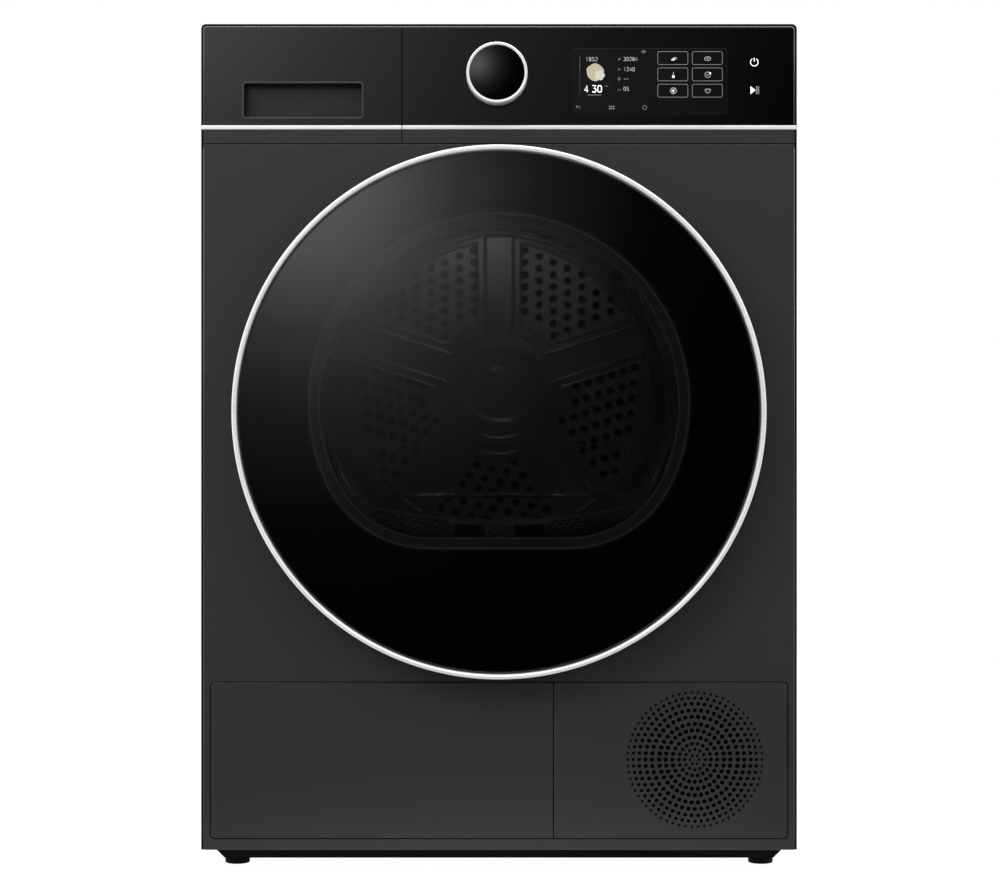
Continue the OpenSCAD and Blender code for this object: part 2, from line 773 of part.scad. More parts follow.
module drum_back() {
    y0 = y_drum_end - dish_h - 1;
    r1 = drum_r - drum_t;
    t = drum_t;
    color(steel) difference() {
        union() {
            turned_y(0, drum_z)
                polygon([[0, y0], [star_r, y0], [star_r + 22, y0 + dish_h - 2], [r1, y0 + dish_h - 2],
                         [r1, y0 + dish_h - 2 + t], [star_r + 21, y0 + dish_h - 2 + t],
                         [star_r - 1, y0 + t], [0, y0 + t]]);
            rod_y(0, drum_z, 51, y0 - 4, y0 + 1);
            rod_y(0, drum_z, 34, y0, y_rear - 8);
            rod_y(0, drum_z, shaft_r, y0, y_rear + 22);
        }
        // Five fields of air holes
        for (field = [0 : 4], row = [0 : 3]) for (k = [-(row + 1) : (row + 1)])
            rotate_about_y(-90 + 36 + 72 * field + k * 10.5, drum_z)
                rod_y(85 + row * 25, drum_z, 5, y0 - 3, y0 + 3);
    }
}

module drum_lifters() {
    r1 = drum_r - drum_t;
    w = lifter_w;
    color(light_plastic) for (a = [90, 210, 330]) rotate_about_y(-a, drum_z)
        intersection() {
            along_y(y_drum + 25, y_drum_end - dish_h - 14)
                polygon([[r1 - lifter_h, drum_z - w / 5], [r1 - lifter_h, drum_z + w / 5],
                         [r1 + 5, drum_z + w / 2], [r1 + 5, drum_z - w / 2]]);
            rod_y(0, drum_z, r1 - gap, y_drum, y_drum_end);
        }
}

module front_roller(side) {
    y0 = y_drum + 5;
    color(dark_plastic) roller_place(side) difference() {
        rod_y(0, 0, roller_r, y0, y0 + roller_w);
        rod_y(0, 0, axle_r + run, y0 - 5, y0 + roller_w + 5);
        turned_y(0, 0) translate([axle_r + 5, y0 - 1]) square([roller_r - axle_r - 11, 7]);
    }
}
module front_roller_left() { front_roller(-1); }
module front_roller_right() { front_roller(1); }

module belt_shape(grow) {
    a1 = belt_dir - belt_turn;
    a2 = belt_dir + belt_turn;
    c1 = [0, drum_z];
    c2 = [motor_x, motor_z];
    r1 = drum_r + grow;
    r2 = pulley_r + grow;
    translate(c1) circle(r = r1, $fn = 180);
    translate(c2) circle(r = r2, $fn = 48);
    polygon([belt_point(c1, r1, a1), belt_point(c2, r2, a1), belt_point(c2, r2, a2), belt_point(c1, r1, a2)]);
}

module drive_belt() {
    color(dark_plastic) along_y(y_belt, y_belt + belt_w) difference() {
        belt_shape(belt_gap + belt_t);
        belt_shape(belt_gap);
    }
}

y_motor0 = y_belt + motor_back;
y_motor1 = y_motor0 + motor_l;

module motor_housing() {
    color(galvanised) difference() {
        union() {
            rod_y(motor_x, motor_z, motor_r, y_motor0, y_motor1);
            box([motor_x - 30, y_motor0 + 10, z_tray], [motor_x + 30, y_motor1 - 10, motor_z - 20]);
        }
        rod_y(motor_x, motor_z, motor_r - 15, y_motor0 + 8, y_motor1 - 8);
        rod_y(motor_x, motor_z, rotor_r + run, y_motor0 - 1, y_motor1 + 1);
    }
}

module motor_rotor() {
    color(steel) {
        rod_y(motor_x, motor_z, rotor_r, y_belt - 4, y_fan1 + 2);
        rod_y(motor_x, motor_z, motor_r - 16, y_motor0 + 14, y_motor1 - 14);
        rod_y(motor_x, motor_z, pulley_r, y_belt - 1, y_belt + belt_w + 1);
    }
    color(steel) for (y = [y_belt - 3, y_belt + belt_w + gap])
        rod_y(motor_x, motor_z, pulley_r + 3, y, y + 2.5);
}

y_fan0 = y_motor1 + fan_back;
y_fan1 = y_fan0 + fan_w;

module fan_scroll() {
    x = motor_x;
    y0 = y_fan0 - 8;
    y1 = y_rear - gap;
    r = fan_r + 12;
    color(light_plastic) difference() {
        union() {
            rod_y(x, motor_z, r, y0, y1);
            box([x, y0, motor_z], [x + r, y1, motor_z + r]);
            box([x - 30, y0, z_tray], [x + 30, y1, motor_z]);
        }
        rod_y(x, motor_z, r - 3, y0 + 3, y1 - 3);
        box([x + 3, y0 + 3, motor_z], [x + r - 3, y1 - 3, motor_z + r + 1]);
        rod_y(x, motor_z, 40, y0 - 1, y0 + 5);
    }
}

module process_fan() {
    color(light_plastic) difference() {
        union() {
            rod_y(motor_x, motor_z, fan_r, y_fan1 - 3, y_fan1);
            rod_y(motor_x, motor_z, 14, y_fan0 + 4, y_fan1);
            for (a = [0 : 20 : 340]) translate([motor_x, 0, motor_z]) rotate([0, a, 0])
                box([fan_r - 24, y_fan0, -1], [fan_r - 1, y_fan1, 1]);
            turned_y(motor_x, motor_z) translate([fan_r - 24, y_fan0]) square([24, 2]);
        }
        rod_y(motor_x, motor_z, rotor_r + run, y_fan0 - 5, y_fan1 + 5);
    }
}

module idler_arm() {
    y0 = y_belt + belt_w + 3;
    color(galvanised) difference() {
        union() {
            rod_y(idler_pos[0], idler_pos[1], 7, y0, y0 + 4);
            rod_y(arm_pivot[0], arm_pivot[1], 9, y0, y0 + 4);
            arm_web(y0, 4);
            rod_y(idler_pos[0], idler_pos[1], 3, y_belt - 4, y0 + 1);
        }
        rod_y(arm_pivot[0], arm_pivot[1], arm_pin_r + run, y0 - 5, y0 + 5);
    }
}

// Flat web from the arm's pivot to the wheel
module arm_web(y0, t) {
    span = idler_pos - arm_pivot;
    translate([arm_pivot[0], y0, arm_pivot[1]]) rotate([0, -atan2(span[1], span[0]), 0])
        box([0, 0, -6], [norm(span), t, 6]);
}

module idler_wheel() {
    color(light_plastic) difference() {
        rod_y(idler_pos[0], idler_pos[1], idler_r, y_belt - 1, y_belt + belt_w + 1);
        rod_y(idler_pos[0], idler_pos[1], 3 + run, y_belt - 5, y_belt + belt_w + 5);
    }
}

// ---- Heat pump ----

module compressor() {
    x = compressor_x;
    y = compressor_y;
    z1 = z_tray + compressor_h;
    color(dark_plastic) {
        translate([x, y, z_tray + 10]) cylinder(r = compressor_r, h = compressor_h - 22);
        translate([x, y, z1 - 12]) cylinder(r1 = compressor_r, r2 = compressor_r - 14, h = 8);
        translate([x, y, z1 - 4]) cylinder(r = 10, h = 4, $fn = 32);
        box([x - 62, y - 62, z_tray + 6], [x + 62, y + 62, z_tray + 10]);
        for (a = [-50, 50], b = [-50, 50]) translate([x + a, y + b, z_tray])
            cylinder(r = 10, h = 7, $fn = 32);
    }
}

module exchanger(y0, y1) {
    x0 = exchanger_x0;
    x1 = x0 + exchanger_w;
    fins = 22;
    pitch = (exchanger_w - 12) / fins;
    color([0.75, 0.77, 0.79]) difference() {
        box([x0, y0, z_tray], [x1, y1, z_tray + exchanger_h]);
        for (i = [0 : fins - 1]) box([x0 + 8 + i * pitch, y0 - 1, z_tray + 34],
                                     [x0 + 8 + i * pitch + pitch - 5, y0 + 14, z_tray + exchanger_h - 8]);
    }
}
evap_y0 = y_face + evap_back;
evap_y1 = evap_y0 + evap_d;
cond_y0 = evap_y1 + exchanger_gap;
cond_y1 = cond_y0 + cond_d;
module evaporator() { exchanger(evap_y0, evap_y1); }
module condenser() { exchanger(cond_y0, cond_y1); }

module refrigerant_pipes() {
    x1 = exchanger_x0 + exchanger_w;
    cx = compressor_x;
    cy = compressor_y;
    top = z_tray + compressor_h - 4;
    z1 = top + 15;
    color(copper) {
        pipe_run([[cx - 30, cy - 12, top], [cx - 30, cy - 12, z1], [x1 + 27, cy - 12, z1],
                  [x1 + 27, cy - 12, 120], [x1, cy - 12, 120]], pipe_d);
        pipe_run([[cx - 30, cy + 12, top], [cx - 30, cy + 12, z1], [x1 + 42, cy + 12, z1],
                  [x1 + 42, cond_y0 + 50, z1], [x1 + 42, cond_y0 + 50, 120],
                  [x1, cond_y0 + 50, 120]], pipe_d);
        pipe_run([[x1, cond_y0 + 80, 60], [x1 + 22, cond_y0 + 80, 60], [x1 + 22, evap_y0 + 30, 60],
                  [x1, evap_y0 + 30, 60]], pipe_d);
    }
}

cover_y0 = y_face + 32.5;
lock_x = exchanger_x0 + exchanger_w / 2;
lock_z = 113;

module exchanger_cover() {
    x0 = exchanger_x0 - 4;
    x1 = exchanger_x0 + exchanger_w + 4;
    color(dark_plastic) {
        along_y(cover_y0, cover_y0 + 6) rounded(x0, z_base_top, x1, low_z1 - 2, 8);
        box([x0 + 10, cover_y0 + 5, 50], [x1 - 10, evap_y0 - gap, 56]);
        rod_y(lock_x, lock_z, 4, cover_y0 - 11, cover_y0 + 1);
    }
}

module cover_lock() {
    color([0.15, 0.35, 0.55]) difference() {
        union() {
            rod_y(lock_x, lock_z, 12, cover_y0 - 10, cover_y0 - gap);
            along_y(cover_y0 - 9, cover_y0 - 3) rounded(lock_x - 38, lock_z - 7, lock_x + 38, lock_z + 7, 6);
        }
        rod_y(lock_x, lock_z, 4 + run, cover_y0 - 20, cover_y0 + 5);
    }
}

pump_x = -hw + 70;
module sump_pump() {
    y0 = y_rear + 6;
    color(dark_plastic) {
        box([pump_x - 22, y0, z_tray], [pump_x + 28, y0 + 30, 52]);
        translate([pump_x, y0 + 16, 50]) cylinder(r = 15, h = 30, $fn = 48);
        box([hose_x - 9, hose_y - 9, 44], [pump_x, hose_y + 9, 62]);
    }
}

hose_x = -hw + 19.5;
hose_y = y_rear + 22;
hose_top = z_tank + tank_h - 25;
module drain_hose() {
    color([0.30, 0.30, 0.31]) pipe_run([[hose_x, hose_y, 62], [hose_x, hose_y, hose_top],
        [hose_x, tank_y0 + tank_l + 10, hose_top]], hose_d);
}

spigot_x = -hw + 45;
spigot_z = 100;
spigot_r = 7;
module drain_spigot() {
    color(dark_plastic) difference() {
        union() {
            rod_y(spigot_x, spigot_z, spigot_r, y_back - 16, y_back + duct_cover_h - 1);
            rod_y(spigot_x, spigot_z, spigot_r + 6, y_back, y_back + 3);
        }
        rod_y(spigot_x, spigot_z, spigot_r - 2, y_back - 17, y_back + duct_cover_h + 1);
    }
}

gland_x = hw - 50;
gland_z = 200;
gland_r = 11;
module cable_gland() {
    color(dark_plastic) difference() {
        union() {
            rod_y(gland_x, gland_z, gland_r, y_back - 12, y_back + 3);
            rod_y(gland_x, gland_z, gland_r + 5, y_back, y_back + 5);
        }
        rod_y(gland_x, gland_z, 4.5, y_back - 13, y_back + 6);
    }
}

// ---- Lower panel ----

flap_y = y_face + flap_back;
flap_z = low_z0 + flap_up;

module service_flap() {
    x0 = -hw + low_border + low_gap;
    x1 = split_x - low_gap / 2;
    color(body_grey) {
        intersection() {
            along_y(y_face, y_face + flap_t) rounded(x0, low_z0 + low_gap, x1 + 20, low_z1 - low_gap, 4);
            box([x0, y_face - 1, low_z0], [x1, y_face + flap_t + 1, low_z1]);
        }
        // Hinge arms and pins at both ends
        for (x = [x0, x1 - 6]) {
            box([x, y_face + flap_t - 1, flap_z - 3.5], [x + 6, flap_y, flap_z + 3.5]);
            translate([x, flap_y, flap_z]) rotate([0, 90, 0]) cylinder(r = 3.5, h = 6, $fn = 32);
        }
        translate([x0 - 5, flap_y, flap_z]) rotate([0, 90, 0]) cylinder(r = flap_pin_r, h = 6, $fn = 32);
        translate([x1 - 1, flap_y, flap_z]) rotate([0, 90, 0]) cylinder(r = flap_pin_r, h = 6, $fn = 32);
    }
}

module grille_panel() {
    x0 = split_x + low_gap / 2;
    x1 = hw - low_border - low_gap;
    z0 = low_z0 + low_gap;
    z1 = low_z1 - low_gap;
    color(body_grey) difference() {
        union() {
            along_y(y_face, y_face + flap_t) {
                rounded(x0, z0, x1, z1, 4);
                translate([x0, z0]) square([8, z1 - z0]);
            }
            // Ear that holds the flap's right pin
            box([x0, y_face + flap_t - 1, flap_z - 4], [x0 + 8, flap_y + 4, flap_z + 4]);
            // Shroud and spider of the cooling fan
            turned_y(vent_x, vent_z)
                translate([cooling_r + 4, y_face + flap_t - 1]) square([3, 38]);
            for (a = [30, 150, 270]) translate([vent_x, 0, vent_z]) rotate([0, a, 0])
                box([6, y_face + 38, -4], [cooling_r + 6, y_face + 41, 4]);
            rod_y(vent_x, vent_z, 12, y_face + 38, y_face + 41);
            rod_y(vent_x, vent_z, 2.5, y_face + 22, y_face + 39);
        }
        for (ring = [1 : 5], k = [0 : 6 * ring - 1])
            translate([vent_x, 0, vent_z]) rotate([0, k * 60 / ring, 0])
                rod_y(ring * 12, 0, 4, y_face - 1, y_face + flap_t + 1);
        translate([x0 - 1, flap_y, flap_z]) rotate([0, 90, 0])
            cylinder(r = flap_pin_r + run, h = 6, $fn = 32);
    }
}

module cooling_fan() {
    color(dark_plastic) difference() {
        union() {
            rod_y(vent_x, vent_z, 18, y_face + 20, y_face + 36);
            for (i = [0 : 6]) translate([vent_x, y_face + 28, vent_z]) rotate([0, i * 360 / 7, 0])
                rotate([30, 0, 0]) box([14, -9, -1.2], [cooling_r - 2, 9, 1.2]);
        }
        rod_y(vent_x, vent_z, 2.5 + run, y_face + 15, y_face + 45);
    }
}

// ---- Door ----

module hinge_notch() {
    box([pin_x - 8, y_mask + 1, door_z - arm_z - 5], [door_r + 5, y_face, door_z + arm_z + 5]);
}

module door_frame() {
    y0 = y_mask;
    y1 = door_y1;
    w = door_wall;
    color(dark_plastic) difference() {
        turned_y(0, door_z)
            polygon([[0, y0], [ring_r0 - gap, y0], [rim_r, y0 + 3], [rim_r, y1 - 4], [rim_r - 4, y1],
                     [0, y1]]);
        difference() {
            turned_y(0, door_z) translate([0, y0 + mask_t])
                square([rim_r - rim_wall, y1 - y0 - mask_t - w]);
            along_y(y0, y1) outline(-w);
            // Boss that carries the hinge leaf
            box([pin_x - 36, pin_y + 2, door_z - 34], [pin_x - 10, y1, door_z + 34]);
        }
        along_y(y0 - 1, y1 - w) outline(0);
        along_y(y0 - 1, y1 + 1) outline(12);
        hinge_notch();
    }
}

module door_trim_ring() {
    r = door_r - ring_w / 2;
    color(chrome) turned_y(0, door_z) {
        translate([ring_r0, y_glass - 3]) square([ring_w, y_mask - y_glass + 2]);
        translate([r, y_glass - 3]) circle(r = ring_w / 2, $fn = 48);
    }
}

module door_glass() {
    color([0.08, 0.08, 0.09, 0.6]) turned_y(0, door_z)
        polygon(concat([for (i = [0 : dome_steps]) dome_point(i, 0)],
                       [for (i = [dome_steps : -1 : 0]) dome_point(i, glass_t)]));
}

bowl_y0 = door_y1 - door_wall;
bowl_y1 = y_face + bowl_depth;

// The bowl's solid shape, made smaller by t; its lower wall slopes back
module bowl_block(t, y0) {
    z0 = filter_top + filter_travel - 4;
    intersection() {
        along_y(y0, bowl_y1 - t) outline(14 + t);
        along_x(-mouth_r, mouth_r)
            polygon([[y0, mouth_z + mouth_r], [y0, z0 + t], [y_face + 2, z0 + t],
                     [bowl_y1, z0 + 50 + 1.6 * t], [bowl_y1, mouth_z + mouth_r]]);
    }
}

module door_bowl() {
    color([0.70, 0.72, 0.74, 0.5]) difference() {
        union() {
            bowl_block(0, bowl_y0 - 3);
            along_y(bowl_y0 - 3, bowl_y0) outline(gap);
        }
        bowl_block(bowl_t, bowl_y0 - 4);
    }
}

module door_hook() {
    x = -hook_x;
    color(dark_plastic) {
        box([x - 3, door_y1, door_z - 5], [x + 3, y_face + 20, door_z + 5]);
        box([x - 3, y_face + 14, door_z - 5], [x + 3, y_face + 20, door_z + 9]);
        box([x - 8, door_y1, door_z - 8], [x + 8, door_y1 + 1, door_z + 8]);
    }
}

module door_catch() {
    x = -hook_x;
    color(light_plastic) difference() {
        box([x - 14, y_face + sheet, door_z - 22], [x + 14, y_face + 28, door_z + 22]);
        box([x - 8, y_face, door_z - 8], [x + 7, y_face + 23, door_z + 12]);
    }
}

module hinge_bracket() {
    color(steel) {
        box([pin_x - 16, y_face + sheet, door_z - arm_z - 20],
            [pin_x + 18, y_face + sheet + 4, door_z + arm_z + 20]);
        for (s = [-1, 1]) translate([0, 0, door_z + s * arm_z - arm_t / 2]) {
            box([pin_x - arm_w / 2, pin_y, 0], [pin_x + arm_w / 2, y_face + sheet + 1, arm_t]);
            translate([pin_x, pin_y, 0]) cylinder(d = arm_w, h = arm_t, $fn = 48);
        }
        translate([pin_x, pin_y, door_z - arm_z]) cylinder(r = pin_r, h = 2 * arm_z, $fn = 48);
    }
}

module hinge_leaf() {
    h = 2 * (arm_z - arm_t / 2 - gap);
    color(steel) difference() {
        union() {
            translate([pin_x, pin_y, door_z - h / 2]) cylinder(r = barrel_r, h = h, $fn = 48);
            box([pin_x - 36, pin_y - 2, door_z - 34], [pin_x, pin_y + 2, door_z + 34]);
        }
        translate([pin_x, pin_y, door_z - h]) cylinder(r = pin_r + run, h = 2 * h, $fn = 48);
    }
}

// ---- Lint filter and sensor ----

module lint_filter() {
    bx = filter_body_w / 2;
    ym = (filter_y0 + filter_y1) / 2;
    by0 = ym - filter_body_t / 2;
    by1 = ym + filter_body_t / 2;
    color([0.35, 0.36, 0.38]) difference() {
        union() {
            intersection() {
                box([-filter_w / 2, filter_y0, filter_z + gap],
                    [filter_w / 2, filter_y1, filter_z + 60]);
                along_y(filter_y0 - 1, filter_y1 + 1) outline(-mouth_margin + 1);
            }
            box([-bx, by0, filter_z - filter_body_h], [bx, by1, filter_z + 2]);
        }
        // Hollow of the body and its mesh windows
        box([-bx + 3, by0 + 3, filter_z - filter_body_h + 3], [bx - 3, by1 - 3, filter_z - 3]);
        for (i = [0 : 3]) translate([-bx + 10 + i * (filter_body_w - 14) / 4, 0, filter_z])
            box([0, by0 - 1, 12 - filter_body_h], [(filter_body_w - 38) / 4, by1 + 1, -12]);
        // Hollow top that slopes up to the rear
        translate([0, filter_y0, filter_z + filter_lip]) rotate([filter_tilt, 0, 0])
            translate([0, -30, filter_arc_r]) rotate([-90, 0, 0])
                cylinder(r = filter_arc_r, h = 120, $fn = 360);
        // Two finger pockets
        for (s = [-1, 1]) along_y(filter_y0 + 5, filter_y1 - 14)
            translate([s * 30, 0]) rounded(-15, filter_z + 4, 15, filter_z + 40, 5);
    }
}

module moisture_sensor() {
    top = mouth_z + mouth_r + mouth_margin - 0.9;
    color(steel) for (s = [-1, 1]) box([s * 8 - 4, y_face + 30, top - 1.5], [s * 8 + 4, y_bulk - 4, top]);
}

module case_screws() {
    color(steel) for (s = [-1, 1], z = screw_z) {
        rod_y(s * (hw - 12), z, 4, y_back, y_back + 2.5);
        rod_y(s * (hw - 12), z, 2, y_back - 7, y_back + 1);
    }
}

base_tray();
left_side_panel();
right_side_panel();
rear_panel();
rear_duct_cover();
worktop();
front_panel();
front_shield();
rear_shield();
felt_seal();
control_fascia();
control_trim();
control_band();
display_window();
control_board();
tank_housing();
motor_housing();
drive_belt();
fan_scroll();
compressor();
evaporator();
condenser();
refrigerant_pipes();
exchanger_cover();
sump_pump();
drain_hose();
drain_spigot();
cable_gland();
grille_panel();
hinge_bracket();
door_catch();
case_screws();
moisture_sensor();
door_frame();
door_trim_ring();
door_glass();
door_bowl();
door_hook();
hinge_leaf();
drum_shell();
drum_back();
drum_lifters();
front_roller_left();
front_roller_right();
motor_rotor();
process_fan();
idler_arm();
idler_wheel();
knob();
cooling_fan();
tank_front();
tank_trim();
tank_body();
lint_filter();
service_flap();
cover_lock();
foot(-foot_x, foot_y0);  // foot_front_left
foot(foot_x, foot_y0);  // foot_front_right
foot(-foot_x, foot_y1);  // foot_rear_left
foot(foot_x, foot_y1);  // foot_rear_right
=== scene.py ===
# %% [markdown]
# # A heat-pump clothes dryer
# The dryer is a steel box with a round glass door, a gloss control panel and a grille at its foot. Its real
# sizes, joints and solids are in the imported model, which loads here as a fixed frame. Every piece below takes
# its place from that frame and gives one part of it the look of the real thing.

# %% Load the frame
import json
import math

import bmesh
import bpy
from mathutils import Matrix, Vector


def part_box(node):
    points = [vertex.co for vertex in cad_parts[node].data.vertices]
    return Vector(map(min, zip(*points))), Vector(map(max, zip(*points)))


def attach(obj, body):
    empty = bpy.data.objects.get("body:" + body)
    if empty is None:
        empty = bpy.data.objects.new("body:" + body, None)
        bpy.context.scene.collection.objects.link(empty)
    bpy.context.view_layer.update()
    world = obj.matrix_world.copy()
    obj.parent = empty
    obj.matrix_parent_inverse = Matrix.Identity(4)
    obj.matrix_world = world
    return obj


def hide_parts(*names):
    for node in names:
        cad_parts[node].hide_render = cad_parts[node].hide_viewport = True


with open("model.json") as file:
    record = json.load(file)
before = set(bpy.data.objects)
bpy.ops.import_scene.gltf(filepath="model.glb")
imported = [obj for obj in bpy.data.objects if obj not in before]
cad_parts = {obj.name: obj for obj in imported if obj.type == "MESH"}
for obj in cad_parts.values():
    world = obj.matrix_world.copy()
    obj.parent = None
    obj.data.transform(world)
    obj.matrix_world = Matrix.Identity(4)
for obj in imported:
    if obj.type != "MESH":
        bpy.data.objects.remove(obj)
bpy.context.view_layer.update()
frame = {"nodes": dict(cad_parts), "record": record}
record = frame["record"]

# %% [markdown]
# ## The studio
# A product picture of an appliance is taken straight on, with a long lens, so that its sides stay parallel.
# The camera stands 2.4 m in front of the panel, at half the appliance's height.

# %% Camera
MM = 0.001
panel_lo, panel_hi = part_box("front_panel")
face_y = panel_lo.y
CAMERA_DISTANCE = 2400 * MM
CAMERA_SIDE = 1 * MM
CAMERA_HEIGHT = 426 * MM
LENS = 86.5
camera_data = bpy.data.cameras.new("camera")
camera_data.lens = LENS
camera = bpy.data.objects.new("camera", camera_data)
bpy.context.collection.objects.link(camera)
camera.location = (CAMERA_SIDE, face_y - CAMERA_DISTANCE, CAMERA_HEIGHT)
camera.rotation_euler = (math.radians(90), 0, 0)
bpy.context.scene.camera = camera
print("camera at", [round(v, 3) for v in camera.location])

# %% [markdown]
# A shader is a tree of nodes. Two small helpers write such a tree line by line, each node with what feeds it.


# %% Node trees
def node_tree(tree):
    """Empties a node tree and returns two functions, one to add a node and one to add a sum.

    An input is a value, another node's output, or another node, which stands for its first output.
    """
    tree.nodes.clear()

    def add(kind, inputs=None, **settings):
        made = tree.nodes.new(kind)
        for key, value in settings.items():
            setattr(made, key, value)
        for key, value in (inputs or {}).items():
            if isinstance(value, bpy.types.Node):
                value = value.outputs[0]
            if isinstance(value, bpy.types.NodeSocket):
                tree.links.new(value, made.inputs[key])
            else:
                made.inputs[key].default_value = value
        return made

    def maths(operation, *values):
        return add("ShaderNodeMath", dict(enumerate(values)), operation=operation)

    return add, maths


# %% [markdown]
# The background is white to the eye, and so is what stands behind the dryer when it is seen through glass. In
# front of the dryer is a dark studio, which its gloss front and its glass reflect, with one soft glow high on
# the left: it is what draws the long gradient on the control panel and on the door.

# %% World
GLOW_DIRECTION = Vector((math.radians(-11), -1, math.radians(14))).normalized()
GLOW = [(0, 2.05), (3.2, 1.78), (5.5, 1.24), (8.2, 0.68), (10.6, 0.40), (12.9, 0.20), (18.4, 0.03), (24, 0.0)]
GLOW_MAX = 2.5
SIDE_LIGHT = 1.0
TOP_LIGHT = 2.5
AMBIENT = 0.55
THROUGH_GLASS = 0.12
GLOW_REACH = 30

world = bpy.data.worlds.new("studio")
bpy.context.scene.world = world
world.use_nodes = True
add, maths = node_tree(world.node_tree)
direction = add("ShaderNodeTexCoord").outputs["Generated"]
toward = add("ShaderNodeVectorMath", {0: direction, 1: GLOW_DIRECTION}, operation="DOT_PRODUCT")
angle = maths("ARCCOSINE", toward.outputs["Value"])
part = maths("DIVIDE", angle, math.radians(GLOW_REACH))
ramp = add("ShaderNodeValToRGB", {0: part})
for degrees, brightness in GLOW:
    stop = ramp.color_ramp.elements.new(degrees / GLOW_REACH)
    stop.color = [brightness / GLOW_MAX] * 3 + [1]
ramp.color_ramp.elements.remove(ramp.color_ramp.elements[-1])
ramp.color_ramp.elements.remove(ramp.color_ramp.elements[0])
front = add("ShaderNodeVectorMath", {0: direction, 1: (0, -1, 0)}, operation="DOT_PRODUCT")
side = add("ShaderNodeMapRange", {0: front.outputs["Value"], 1: 0.8, 2: 0.35, 3: 0.0, 4: SIDE_LIGHT})
height = add("ShaderNodeSeparateXYZ", {0: direction}).outputs["Z"]
above = add("ShaderNodeMapRange", {0: height, 1: 0.45, 2: 0.8, 3: 0.0, 4: TOP_LIGHT})
glow = maths("MULTIPLY", ramp, GLOW_MAX)
lit_side = maths("ADD", glow, side)
studio = maths("ADD", lit_side, above)
ray = add("ShaderNodeLightPath").outputs
behind = add("ShaderNodeMapRange", {0: front.outputs["Value"], 1: 0.15, 2: -0.15})
before = maths("MAXIMUM", glow, THROUGH_GLASS)
past_glass = add("ShaderNodeMix", {0: behind, 2: before, 3: 1.0}, data_type="FLOAT")
dark = add("ShaderNodeMix", {0: ray["Is Glossy Ray"], 2: AMBIENT, 3: studio}, data_type="FLOAT")
light = add("ShaderNodeMix", {0: ray["Is Transmission Ray"], 2: dark, 3: past_glass}, data_type="FLOAT")
strength = add("ShaderNodeMix", {0: ray["Is Camera Ray"], 2: light, 3: 1.0}, data_type="FLOAT")
background = add("ShaderNodeBackground", {"Color": (1, 1, 1, 1), "Strength": strength})
add("ShaderNodeOutputWorld", {"Surface": background})
print("glow steps:", len(GLOW))

# %% [markdown]
# The floor looks white too, with a soft shadow, but it lights the dryer only as a mid grey would. In
# reflections it ends a little way from the feet, so that the gloss front keeps its dark studio.


# %% Floor
def deselect():
    """Leaves edit mode and deselects everything, since an operator acts on all that is selected."""
    if bpy.context.mode != "OBJECT":
        bpy.ops.object.mode_set(mode="OBJECT")
    bpy.ops.object.select_all(action="DESELECT")


FLOOR_R = 2.2
GLOSSY_R = 0.55
FLOOR_MATTE = 0.5
FLOOR_SHADED = 0.12
FLOOR_LIT = 0.97
deselect()
bpy.ops.mesh.primitive_circle_add(vertices=96, radius=FLOOR_R, fill_type="NGON", location=(0, 0, 0))
floor = bpy.context.object
floor.name = "floor"
floor_paint = bpy.data.materials.new("floor_paint")
floor_paint.use_nodes = True
add, maths = node_tree(floor_paint.node_tree)
matte = add("ShaderNodeBsdfDiffuse", {"Color": [FLOOR_MATTE] * 3 + [1]})
shaded = add("ShaderNodeBsdfDiffuse", {"Color": [FLOOR_SHADED] * 3 + [1]})
lit = add("ShaderNodeEmission", {"Color": (1, 1, 1, 1), "Strength": FLOOR_LIT})
seen = add("ShaderNodeAddShader", {0: shaded, 1: lit})
ray = add("ShaderNodeLightPath").outputs
through = maths("MAXIMUM", ray["Is Camera Ray"], ray["Is Transmission Ray"])
shown = maths("MAXIMUM", through, ray["Is Glossy Ray"])
mixed = add("ShaderNodeMixShader", {0: shown, 1: matte, 2: seen})
place = add("ShaderNodeTexCoord").outputs["Object"]
reach = add("ShaderNodeVectorMath", {0: place}, operation="LENGTH")
far = add("ShaderNodeMapRange", {0: reach.outputs["Value"], 1: GLOSSY_R * 0.7, 2: GLOSSY_R})
gone = maths("MULTIPLY", far, ray["Is Glossy Ray"])
open_floor = add("ShaderNodeBsdfTransparent")
whole = add("ShaderNodeMixShader", {0: gone, 1: mixed, 2: open_floor})
add("ShaderNodeOutputMaterial", {"Surface": whole})
floor.data.materials.append(floor_paint)
print("floor radius", FLOOR_R)

# %% [markdown]
# The lamps are plain and broad, and three small ones inside pick out the drum's pressed back and the lint
# filter. Steel shows its shape by what it reflects, so the two that light the drum's back are seen by
# reflections, and one of them hangs high in the drum: its light grazes the back and draws the pressed beads.

